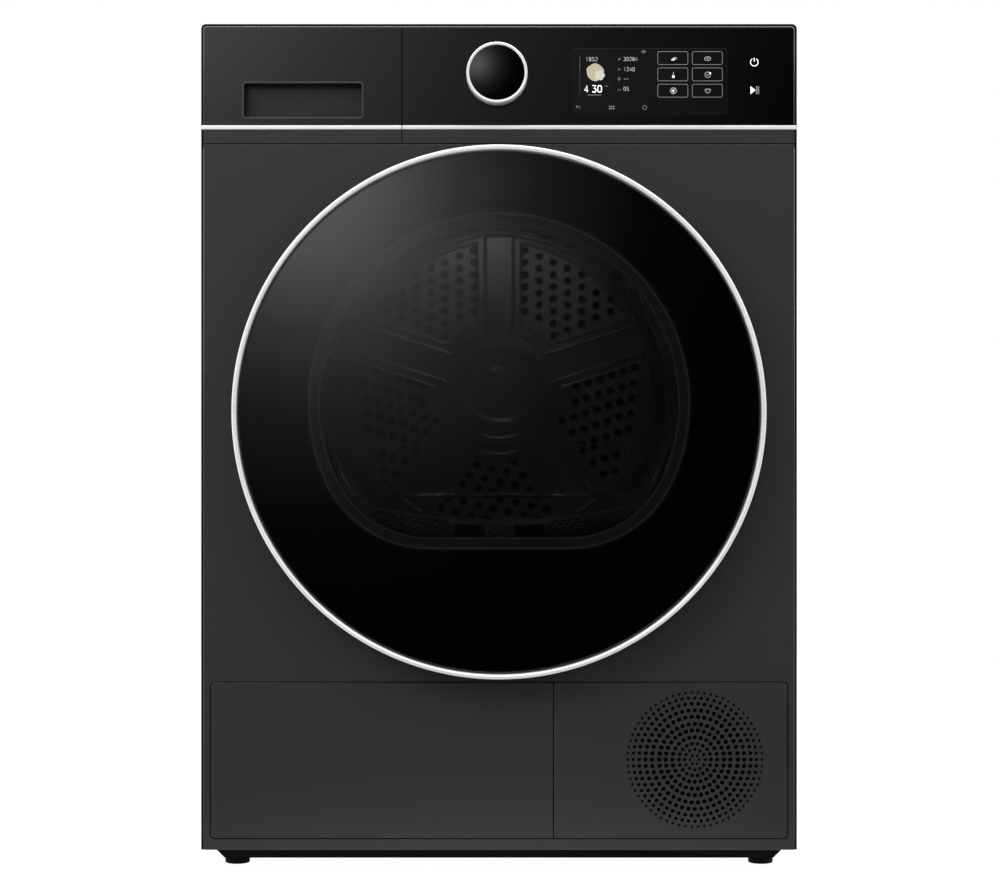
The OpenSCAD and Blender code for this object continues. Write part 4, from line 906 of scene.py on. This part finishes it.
leaf = [(-2.6, -1.7), (0.9, -1.7), (0.9, 1.2), (-0.4, -0.1)]
dots = [bow(101.1, 37.1, 1.35), bow(137.9, 40.5, 0.85), bow(101.1, 22.9, 0.9)]
play = [(-3.9, -3.9), (0.9, 0), (-3.9, 3.9)]
bars = [[(u, -3.9), (u + 1.1, -3.9), (u + 1.1, 3.9), (u, 3.9)] for u in (1.5, 3.4)]
filled = [path(101.1, 55.1, *leaf)[0], path(182.1, 23.6, *play)[0]] + dots
power = [(bow(181.9, 51.5, 3.8, 122, 418), False), path(181.9, 51.5, (0, 0.4), (0, 4.3))]
line_art("power_sign", power, 0.8 * MM, "bright")
solid_marks("solid_signs", filled, "bright")
solid_marks("pause_bars", [path(182.1, 23.6, *bar)[0] for bar in bars], "soft")

shirt = [(-1.2, 2), (-3, 0.9), (-2.2, -0.4), (-1.5, 0), (-1.5, -2.1), (1.5, -2.1), (1.5, 0), (2.2, -0.4)]
shirt += [(3, 0.9), (1.2, 2), (0.6, 1.4), (-0.6, 1.4)]
cloud = [(-2.4, -1.5), (-3.2, 0), (-2.2, 1.4), (-0.8, 1.2), (0.6, 2), (2.2, 1.3), (3.1, 0.2), (2.3, -1.5)]
cloud += [(0, -1.9)]
signs = [
    path(101.1, 55.1, (1.5, -1.5), (2.1, 1.7)),
    path(101.1, 55.1, (2.6, -0.9), (3.3, 1.2)),
    path(135.4, 55.1, *cloud, closed=True),
    path(135.4, 55.1, (-1, 0.4), (0, -0.6), (1.5, 0.3)),
    path(101.1, 38.9, (0, 2.7), (0, -1.5)),
    (bow(135.4, 38.9, 2.8, 50, 385), False),
    path(135.4, 38.9, (-1.2, 0.3), (-0.2, -0.8), (1.4, 1.1)),
    (bow(101.1, 22.9, 3.0), True),
    (bow(101.1, 22.9, 1.8, 20, 320), False),
    path(135.4, 22.9, *shirt, closed=True),
]
line_art("key_signs", signs, 0.55 * MM, "text")
print("signs on the keys:", len(signs))

# %% [markdown]
# Smaller signs stand beside the figures and along the foot of the display, with a line at the left side.

# %% Small signs
small = [
    path(47.0, 54.7, (-1.2, -1), (0.9, 1.2), (1.3, -0.4), (-1.2, -1)),
    path(47.0, 44.4, (-0.9, -1.3), (0, 1.4), (0.9, -1.3)),
    (bow(47.0, 34.9, 1.2), True),
    (bow(47.0, 24.9, 1.4, 200, 340), False),
    (bow(71.4, 59.6, 1.2, 45, 135), False),
    (bow(71.4, 59.6, 2.3, 45, 135), False),
    (bow(71.4, 59.6, 3.4, 45, 135), False),
    path(34.2, 27.6, (-1.4, 0), (1.6, 0)),
    path(22.3, 18.7, (-6.9, 0), (6.9, 0)),
    path(7.6, 48.1, (0, -1.7), (0, 1.7)),
    path(5.8, 6.2, (1.7, -1.3), (1.7, 0.8), (-1.8, 0.8)),
    path(5.8, 6.2, (-0.7, 2), (-1.9, 0.8), (-0.7, -0.4)),
    (bow(72.5, 6.2, 2.1, 22.5, 382.5, 8), False),
]
line_art("small_signs", small, 0.5 * MM, "soft")
line_art("scroll_line", [path(7.6, 38.7, (0, -18.6), (0, 18.7))], 0.5 * MM, "faint")
cells = [(u, v) for u in (-2.6, -0.6, 1.4) for v in (-1.7, 0.4)]
squares = [[(u, v), (u + 1.2, v), (u + 1.2, v + 1.2), (u, v + 1.2)] for u, v in cells]
solid_marks("grid_sign", [path(39.5, 6.2, *square)[0] for square in squares], "soft")
print("small signs:", len(small))

# %% [markdown]
# A round piece of cloth with pale petals lies above the clock. Its edge is a circle with a slow wave in it.
# Each petal is set a little before the last, because two faces in one plane would flicker.

# %% Cloth on the display
CLOTH_R = 8.6
PETAL_OUT = 2.6


def around(count):
    """Equal turns of a full circle."""
    return [math.tau * i / count for i in range(count)]


cloth = []
for a in around(60):
    wide = CLOTH_R + 0.5 * math.sin(3 * a) + 0.3 * math.cos(5 * a)
    high = CLOTH_R + 0.4 * math.cos(4 * a)
    cloth.append(at(22.9 + wide * math.cos(a), 41.4 + high * math.sin(a)))
solid_marks("cloth_disc", [cloth], "sand")
for number, a in enumerate(around(5)):
    petal = bow(27.6 + PETAL_OUT * math.cos(a), 38.4 + PETAL_OUT * math.sin(a), 2.5, steps=16)
    petal_piece = solid_marks("cloth_petal_%d" % number, [petal], "pale")
    petal_piece.data.transform(Matrix.Translation((0, -(0.02 + 0.004 * number) * MM, 0)))
print("petals:", number + 1)

# %% [markdown]
# ## Door
# The pane is a shallow dome of smoked glass, so its profile is an arc spun about the door's axis: a smooth
# dome bends reflections evenly, which a dome of a few flats would not. The chrome ring is turned too.

# %% Glass pane and chrome ring
glass_lo, glass_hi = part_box("door_glass")
door_z = (glass_lo.z + glass_hi.z) / 2
glass_r = (glass_hi.x - glass_lo.x) / 2
GLASS = 4 * MM
dome_rise = (glass_hi.y - glass_lo.y) - GLASS
dome_r = (glass_r**2 + dome_rise**2) / (2 * dome_rise)


def dome_y(r):
    return glass_lo.y + dome_r - math.sqrt(dome_r**2 - r**2)


ROUND = 1.2 * MM
rings = [glass_r * i / 28 for i in range(28)] + [glass_r - ROUND]
dome = [(r, dome_y(r)) for r in rings]
edge_y = dome_y(glass_r - ROUND)
dome += turn("r", glass_r - ROUND, edge_y, glass_r, edge_y + ROUND, 5)
dome += [(glass_r, glass_hi.y)] + [(r, dome_y(r) + GLASS) for r in reversed(rings)]
dress(lathe("door_pane", dome, 0, door_z, 160), "door_glass", "door", "door_glass")

ring_lo, ring_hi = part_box("door_trim_ring")
ring_r = (ring_hi.x - ring_lo.x) / 2
ring_in = glass_r + 1.2 * MM
ring_mid = (ring_in + ring_r) / 2
half = (ring_r - ring_in) / 2
crest = [math.pi * i / 12 for i in range(13)]
ring_profile = [(ring_r, ring_hi.y)]
ring_profile += [(ring_mid + half * math.cos(a), ring_lo.y + half - half * math.sin(a)) for a in crest]
ring_profile += [(ring_in, ring_hi.y), (ring_r, ring_hi.y)]
dress(lathe("door_ring", ring_profile, 0, door_z, 256), "chrome_trim", "door", "door_trim_ring")
print("dome rises", round(dome_rise, 4))

# %% [markdown]
# Behind the glass a black moulding carries everything: it masks all but the window, holds the clear bowl that
# keeps the laundry off the pane, and has the hinge and the latch hook on its back.

# %% Door moulding, bowl and fittings
refine("door_frame", "door_moulding", 0.7 * MM, 2, "black_plastic", "door", sharp=30)
refine("door_bowl", "door_bowl_clear", 1.6 * MM, 3, "bowl_glass", "door", sharp=30, smooth=50)
FITTINGS = {
    "door_hook": (0.5, "black_plastic", "door"),
    "hinge_leaf": (0.5, "zinc_steel", "door"),
    "hinge_bracket": (0.5, "zinc_steel", "root"),
    "door_catch": (0.8, "light_plastic", "root"),
}
for node, (width, slot_name, body) in FITTINGS.items():
    refine(node, node + "_finished", width * MM, 2, slot_name, body)
print("door radius", round(ring_r, 4))

# %% [markdown]
# ## Drum
# The drum is stainless steel: a shell with pressed rings, a back pressed into a five-armed star, and between
# the arms five fields of round air holes with a raised bead around each. Three lifters turn the laundry over.

# %% Drum shell
shell_lo, shell_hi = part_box("drum_shell")
drum_z = (shell_lo.z + shell_hi.z) / 2
drum_r = (shell_hi.x - shell_lo.x) / 2
STEEL = 1.2 * MM
RIB = 3 * MM
SHOULDER = 6 * MM
LIP = 48 * MM
lip_y = shell_lo.y + 5 * MM
mouth = drum_r - LIP
inner = [(mouth, lip_y), (mouth, shell_lo.y + 1.5 * MM), (mouth + 2 * MM, shell_lo.y)]
outer = [(drum_r - SHOULDER, shell_lo.y), (drum_r, shell_lo.y + SHOULDER)]
for share in (0.09, 0.17, 0.84, 0.92):
    middle = shell_lo.y + share * (shell_hi.y - shell_lo.y)
    for step, depth in ((-6, 0), (-3, 0.7), (0, 1), (3, 0.7), (6, 0)):
        outer.append((drum_r - RIB * depth, middle + step * MM))
outer.append((drum_r, shell_hi.y))
back = [(r - STEEL, y + (STEEL if y < shell_lo.y + 3 * MM else 0)) for r, y in reversed(outer)]
wall = inner + outer + back + [(mouth + STEEL + 1 * MM, shell_lo.y + STEEL), (mouth + STEEL, lip_y)]
dress(lathe("drum_wall", wall + wall[:1], 0, drum_z, 160), "stainless", "drum", "drum_shell")
print("drum radius", round(drum_r, 4))

# %% [markdown]
# The back is turned too, with its hub, its grooves and its pressed rings, and with the shaft behind it. Real
# steel can't step sharply when it is pressed, so each step of the profile eases in and out.

# %% Profile of the drum's back
back_lo, back_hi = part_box("drum_back")
star_r = 188 * MM
hub_r = 51 * MM
star_y = back_lo.y + 4 * MM
back_r = drum_r - STEEL - 0.2 * MM
hub_y = back_lo.y
low = star_y - hub_y
HUB_GROOVE = 3.0 * MM
RISE = 2.4 * MM
LEDGE = 11.5 * MM
DIP = 8 * MM
RIM = 12 * MM


def ease(r0, y0, r1, y1, steps=6):
    """Points of a smooth step in a profile, level at both ends."""
    shares = [(1 - math.cos(math.pi * i / steps)) / 2 for i in range(steps + 1)]
    return [(r0 + (r1 - r0) * i / steps, y0 + (y1 - y0) * share) for i, share in enumerate(shares)]


# Each step leads from one radius in millimetres, and a depth behind the hub's face, to another.
STEPS = [
    (18, 0, 23, HUB_GROOVE), (41, HUB_GROOVE, 46, 0), (49.5, 0, 54, low),
    (178, low, 182, low - RISE), (184, low - RISE, 188, low), (190, low, 207, low + LEDGE),
    (212, low + LEDGE, 221, low + DIP), (231, low + DIP, 241, low + RIM),
]
front = [(0, hub_y)]
for r0, y0, r1, y1 in STEPS:
    front += ease(r0 * MM, hub_y + y0, r1 * MM, hub_y + y1)
front += [(back_r, star_y + RIM)]
SOCKET_R = 34 * MM
SHAFT_R = 10 * MM
SHAFT_END = 1 * MM
shaft_y = back_hi.y - 32 * MM
rear = [(r, y + STEEL) for r, y in reversed(front) if r > hub_r] + [(SOCKET_R, star_y + STEEL)]
rear += [(SOCKET_R, shaft_y), (SHAFT_R, shaft_y), (SHAFT_R, back_hi.y - SHAFT_END)]
rear += [(SHAFT_R - SHAFT_END, back_hi.y), (0, back_hi.y)]
star = lathe("drum_star", front + rear, 0, drum_z, 120)
print("profile points:", len(front + rear))

# %% [markdown]
# Beads and holes are shapes of their own first. What repeats is modelled once, copied by a list of moves and
# joined into one object, which is then added to the back or cut from it in a single step.


# %% Copies, joins and cuts
def join(things, name):
    active(things[0])
    for thing in things[1:]:
        thing.select_set(True)
    if len(things) > 1:
        bpy.ops.object.join()
    things[0].name = things[0].data.name = name
    return things[0]


def combine(thing, tool, operation="DIFFERENCE", solver="EXACT"):
    """Cuts, joins or crosses a shape with a second one, which is used up."""
    mix = thing.modifiers.new("combine", "BOOLEAN")
    mix.operation = operation
    mix.solver = solver
    mix.object = tool
    apply_modifiers(thing)
    bpy.data.objects.remove(tool)
    return thing


def shift(x, z, y=0.0):
    """A move across the front, and back by y."""
    return Matrix.Translation((x, y, z))


def scatter(thing, moves, name):
    """Copies a shape by every move, which is a matrix, as one object; the first one is used up."""
    copies = []
    for move in moves:
        one = thing.copy()
        one.data = thing.data.copy()
        one.data.transform(move)
        bpy.context.collection.objects.link(one)
        copies.append(one)
    bpy.data.objects.remove(thing)
    return join(copies, name)


def drill(name, radius, cx, cz, y, depth, sides=14):
    """A round bar along Y, to cut a hole with."""
    deselect()
    bpy.ops.mesh.primitive_cylinder_add(
        vertices=sides, radius=radius, depth=depth, rotation=(math.radians(90), 0, 0), location=(cx, y, cz)
    )
    return settle(name)


# %% [markdown]
# Five arms make the star. They aren't modelled themselves: they are what is left between five fields, and
# each field is edged by two raised beads that keep the same distance from the arms' middle lines.

# %% Raised beads
ARM = 21 * MM
ARM_IN = 12 * MM
BEAD = 3.4 * MM
HALF_FIELD = 36
FIELDS = [54 + 2 * HALF_FIELD * k for k in range(5)]
ARC_STEPS = 10


def field_outline(center, r0, r1, gap, corner):
    """The outline between two arms: both sides keep the same distance from the arms' middle lines."""
    points = []
    for r, start in ((r1, -1), (r0, 1)):
        reach = math.radians(HALF_FIELD) - math.asin((gap + corner) / r)
        for i in range(ARC_STEPS + 1):
            a = math.radians(center) + reach * start * (1 - 2 * i / ARC_STEPS)
            points.append((r * math.cos(a), drum_z + r * math.sin(a)))
    return points


# Two beads edge each field: from a radius to a margin inside the star, with a gap to the arms and a corner.
BEADS = [(66, 6, ARM_IN, 5), (78, 14, ARM, 6)]
beads = []
for a in FIELDS:
    for r0, margin, gap, corner in BEADS:
        edge = field_outline(a, r0 * MM, star_r - margin * MM, gap, corner * MM)
        beads.append(tube_along("bead", [(edge, True)], star_y, BEAD))
star = combine(star, join(beads, "beads"), "UNION", "MANIFOLD")
print("beads:", len(beads))

# %% [markdown]
# The holes of a field stand in columns beside its steeper arm, every second column half a pitch further out.
# Only the holes that keep clear of the hub, the rim and the other arm are cut.

# %% Air holes
HOLE = 4.7 * MM
PITCH = 14.8 * MM
COLUMN = 17.3 * MM
ARM_GAP = 31 * MM
OTHER_GAP = 30 * MM
HUB_CLEAR = 86 * MM
RIM_CLEAR = 17 * MM
hole_moves = []
for center in FIELDS:
    side = 1 if math.cos(math.radians(center)) > 0 else -1
    arm = math.radians(center + HALF_FIELD * side)
    other = math.radians(center - HALF_FIELD * side)
    for column in range(10):
        away = ARM_GAP + COLUMN * column
        for k in range(14):
            out = PITCH * (k + column % 2 / 2)
            x = out * math.cos(arm) + side * away * math.sin(arm)
            z = out * math.sin(arm) - side * away * math.cos(arm)
            from_other = side * (z * math.cos(other) - x * math.sin(other))
            if HUB_CLEAR < math.hypot(x, z) < star_r - RIM_CLEAR and from_other > OTHER_GAP:
                hole_moves.append(shift(x, z))
holes = scatter(drill("hole", HOLE, 0, drum_z, star_y, 8 * MM), hole_moves, "holes")
star = combine(star, holes, "DIFFERENCE", "MANIFOLD")
dress(star, "stainless", "drum", "drum_back")
print("air holes:", len(hole_moves))

# %% [markdown]
# Six screws in the hub's groove hold the back to the shaft. Their heads are turned, with a shallow recess.

# %% Hub screws
SCREW_HEAD = [(0, -0.8), (1.5, -0.8), (2.2, -2.6), (3.5, -2.4), (4.6, -1.0), (4.8, 0.6), (0, 0.6)]
SCREW_R = 31 * MM
screw_profile = [(r * MM, hub_y + HUB_GROOVE + y * MM) for r, y in SCREW_HEAD]
screw_turns = [math.radians(79 + 60 * k) for k in range(6)]
screw_moves = [shift(SCREW_R * math.cos(a), SCREW_R * math.sin(a)) for a in screw_turns]
hub_screws = scatter(lathe("hub_screw", screw_profile, 0, drum_z, 20), screw_moves, "hub_screws")
dress(hub_screws, "zinc_steel", "drum", "drum_back")
print("hub screws:", len(screw_moves))

# %% [markdown]
# A lifter is a hollow moulding that is screwed to the shell: wide at its foot, narrow and round at its crest.
# It starts as a block at the top of the drum, its crest is drawn in by a taper of the inner face, and copies
# of it are turned about the drum's axis to their places.

# %% Lifters
lifter_y0, lifter_y1 = shell_lo.y + 26 * MM, shell_hi.y - 30 * MM
LIFTER_H = 41 * MM
LIFTER_W = 62 * MM
LIFTER_R = 9 * MM
TAPER = (0.40, 0.90, 1)
lifter_top = drum_z + drum_r - 4 * MM
foot = lifter_top - LIFTER_H
lifter = block("lifter", (-LIFTER_W / 2, lifter_y0, foot), (LIFTER_W / 2, lifter_y1, lifter_top))
pick(lifter, "FACE", lambda middle, normal: normal.z < -0.9)
bpy.ops.transform.resize(value=TAPER)
done()
round_edges(lifter, lambda middle, direction: middle.z < lifter_top - 1 * MM, LIFTER_R, 5)
LIFTERS = (90, 210, 330)
turned = [Matrix.Rotation(math.radians(90 - degrees), 4, "Y") for degrees in LIFTERS]
lifter_moves = [shift(0, drum_z) @ about_y @ shift(0, -drum_z) for about_y in turned]
dress(scatter(lifter, lifter_moves, "lifters"), "light_plastic", "drum", "drum_lifters")
print("lifters at", LIFTERS, "degrees")

# %% [markdown]
# ## Lining of the window
# Round the window the opening of the black moulding has a grey lining, so its edge shows through the smoked
# glass. It is a flat band filled between two outlines, with a round bead along each of them. It lies on the
# bowl's flange, deep behind the glass where hardly any light comes, so band and beads are given a faint glow:
# painted light.

# %% Window lining
bowl_lo, bowl_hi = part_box("door_bowl")
window_r = bowl_hi.x
window_z = bowl_hi.z - window_r
window_drop = window_z - bowl_lo.z
CORNER_R = 114.7 * MM
corner_x = math.sqrt((window_r - window_drop) * (window_r + window_drop - 2 * CORNER_R))


def window_edge(inset):
    """The window's outline, made smaller: a large arc, a flat lower edge and two round corners."""
    tilt = math.degrees(math.atan2(window_drop - CORNER_R, corner_x))
    corner_z = window_z - window_drop + CORNER_R
    return (
        arc(0, window_z, window_r - inset, -tilt, 180 + tilt, 84)[:-1]
        + arc(-corner_x, corner_z, CORNER_R - inset, 180 + tilt, 270, 20)
        + arc(corner_x, corner_z, CORNER_R - inset, 270, 360 - tilt, 20)[:-1]
    )


LINING = 0.6 * MM
lining_y = bowl_lo.y - LINING - 0.1 * MM
edges = [window_edge(0.3 * MM), window_edge(12 * MM)]
# The band and its beads glow faintly: painted light.
solid_marks("window_lining", edges, "lining", lining_y, LINING, "door")
for label, inset, radius in (("outer", 1.6, 1.2), ("inner", 11.6, 0.7)):
    edge = [(window_edge(inset * MM), True)]
    bead = tube_along("lining_bead_" + label, edge, lining_y - LINING, radius * MM)
    mark_piece(bead, "lining_edge", "door")
print("window", round(2 * window_r, 4), "m wide")

# %% [markdown]
# ## Lint filter
# The filter drops into a duct below the mouth. Its cap is a curved strip with rows of small slanted slots for
# the air, and two pockets for the fingers that lift it out.

# %% Filter cap and body
filter_lo, filter_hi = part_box("lint_filter")
filter_cap = soften(copied("lint_filter", "filter_cap"), 0.4 * MM, 2, 30)
CAP_TILT = math.radians(23.5)
CAP_ARC = 640 * MM
SLOT_SLANT = math.radians(24)
SLOT_PITCH = 8.1 * MM
ROW_PITCH = 8.4 * MM
FIRST_ROW = 7 * MM
cap_drop = filter_hi.x**2 / (2 * CAP_ARC)
cap_front_z = filter_hi.z - cap_drop - (filter_hi.y - filter_lo.y) * math.tan(CAP_TILT)
slot_moves = []
slanted = Matrix.Rotation(CAP_TILT, 4, "X") @ Matrix.Rotation(SLOT_SLANT, 4, "Z")
for row in range(5):
    along_slope = FIRST_ROW + ROW_PITCH * row
    y = filter_lo.y + along_slope * math.cos(CAP_TILT)
    for k in range(-16, 17):
        x = (k + 0.5 * (row % 2)) * SLOT_PITCH
        z = cap_front_z + along_slope * math.sin(CAP_TILT) + x**2 / (2 * CAP_ARC)
        if 52 * MM < abs(x) < 129 * MM or (abs(x) < 10 * MM and row in (1, 2, 3)):
            slot_moves.append(shift(x, z, y) @ slanted)
print("filter slots:", len(slot_moves), "front edge at z", round(cap_front_z, 4))
slot = block("slot", (-2.9 * MM, -1.9 * MM, -7 * MM), (2.9 * MM, 1.9 * MM, 3 * MM))
filter_cap = combine(filter_cap, scatter(slot, slot_moves, "slots"), "DIFFERENCE", "EXACT")
dress(filter_cap, "black_plastic", "filter", "lint_filter")
filter_cap.data.materials[0] = moulded("filter_grey", grey(56), 0.5, 900.0, 0.02)

# %% [markdown]
# ## Lower panel
# The round grille is a field of 396 holes in eleven rings, six more in each ring, that shrink towards the
# centre and the rim. The holes are cut in one go, by one drill shape copied to each place at its own size.

# %% Grille and flap
grille_lo, grille_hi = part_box("grille_panel")
fan_lo, fan_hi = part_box("cooling_fan")
vent_x = (fan_lo.x + fan_hi.x) / 2
vent_z = (fan_lo.z + fan_hi.z) / 2
GRILLE_T = 5 * MM
VENT_RINGS = [4.6, 10.2, 16, 22.4, 29.2, 35.6, 42.9, 49.4, 55.8, 61.6, 67.1]
grille = block("grille", grille_lo, (grille_hi.x, face_y + GRILLE_T, grille_hi.z))
round_edges(grille, lambda m, d: abs(d.y) > 0.9 and m.x > grille_hi.x - 1 * MM, 4 * MM, 6)
round_edges(grille, lambda m, d: m.y < face_y + 0.1 * MM and abs(d.y) < 0.5, 0.5 * MM, 2)
drills = []
for ring, r in enumerate(VENT_RINGS):
    width = 1.3 + 1.05 * math.sin(math.pi * (ring + 0.5) / len(VENT_RINGS))
    bit = drill("bit", width * MM, vent_x, vent_z, face_y + GRILLE_T / 2, 3 * GRILLE_T, 12)
    turns = around(6 * (ring + 1))
    drills.append(scatter(bit, [shift(r * MM * math.cos(a), r * MM * math.sin(a)) for a in turns], "bits"))
grille = combine(grille, join(drills, "bits"), "DIFFERENCE", "MANIFOLD")
dress(grille, "body_grey", "root", "grille_panel")
SHROUD_R = 66 * MM
SHROUD_T = 3 * MM
near_y = face_y + GRILLE_T - 1 * MM
far_y = face_y + 42 * MM
shroud = [(SHROUD_R, near_y), (SHROUD_R + SHROUD_T, near_y), (SHROUD_R + SHROUD_T, far_y), (SHROUD_R, far_y)]
dress(lathe("shroud", shroud + shroud[:1], vent_x, vent_z, 72), "black_plastic", "root", "grille_panel")
refine("service_flap", "flap_painted", 0.5 * MM, 2, "body_grey", "flap")
print("grille holes:", sum(6 * (n + 1) for n in range(len(VENT_RINGS))))

# %% [markdown]
# ## Works and small parts
# What is inside, behind and below is seen when the door, the flap or the tank is open, or from the rear.
# These nodes are copied too, and each gets the small rounds of its own making: cast, moulded, rolled or
# turned. Thin sheets with many holes, the fin blocks and the blades keep their packed faces and are only
# shaded smooth.

# %% Works and small parts
FEET = ["foot_front_left", "foot_front_right", "foot_rear_left", "foot_rear_right"]
WORKS = {
    0.25: ["control_board", "moisture_sensor", "case_screws"],
    0.4: ["felt_seal", "drive_belt", "idler_wheel", "cooling_fan"],
    0.6: ["tank_housing", "motor_housing", "exchanger_cover", "sump_pump", "cover_lock", "tank_body"],
    0.8: ["front_roller_left", "front_roller_right", "drain_spigot", "cable_gland"],
    1.2: FEET,
}
SMOOTH = [
    "compressor", "refrigerant_pipes", "drain_hose", "front_shield", "rear_shield", "evaporator", "condenser",
    "base_tray", "fan_scroll", "process_fan", "idler_arm", "motor_rotor",
]
body_of = {node: body for body, nodes in record["behaviour"]["bodies"].items() for node in nodes}
works = {}
for width, nodes in WORKS.items():
    for node in nodes:
        place = (slot_of[node], body_of[node])
        works[node] = refine(node, node + "_finished", width * MM, 2, *place, sharp=35)
for node in SMOOTH:
    piece = copied(node, node + "_finished", flats=False)
    works[node] = dress(piece, slot_of[node], body_of[node], node, angle=45)
# The base tray and the feet get the near black of painted shade.
for node in ["base_tray", *FEET]:
    works[node].data.materials[0] = PAINTED_SHADE_BLACK
# Painted shade: the zinc rear shield is made dark black steel.
works["rear_shield"].data.materials[0] = FINISHES["black_steel"]
print("works:", len(works))
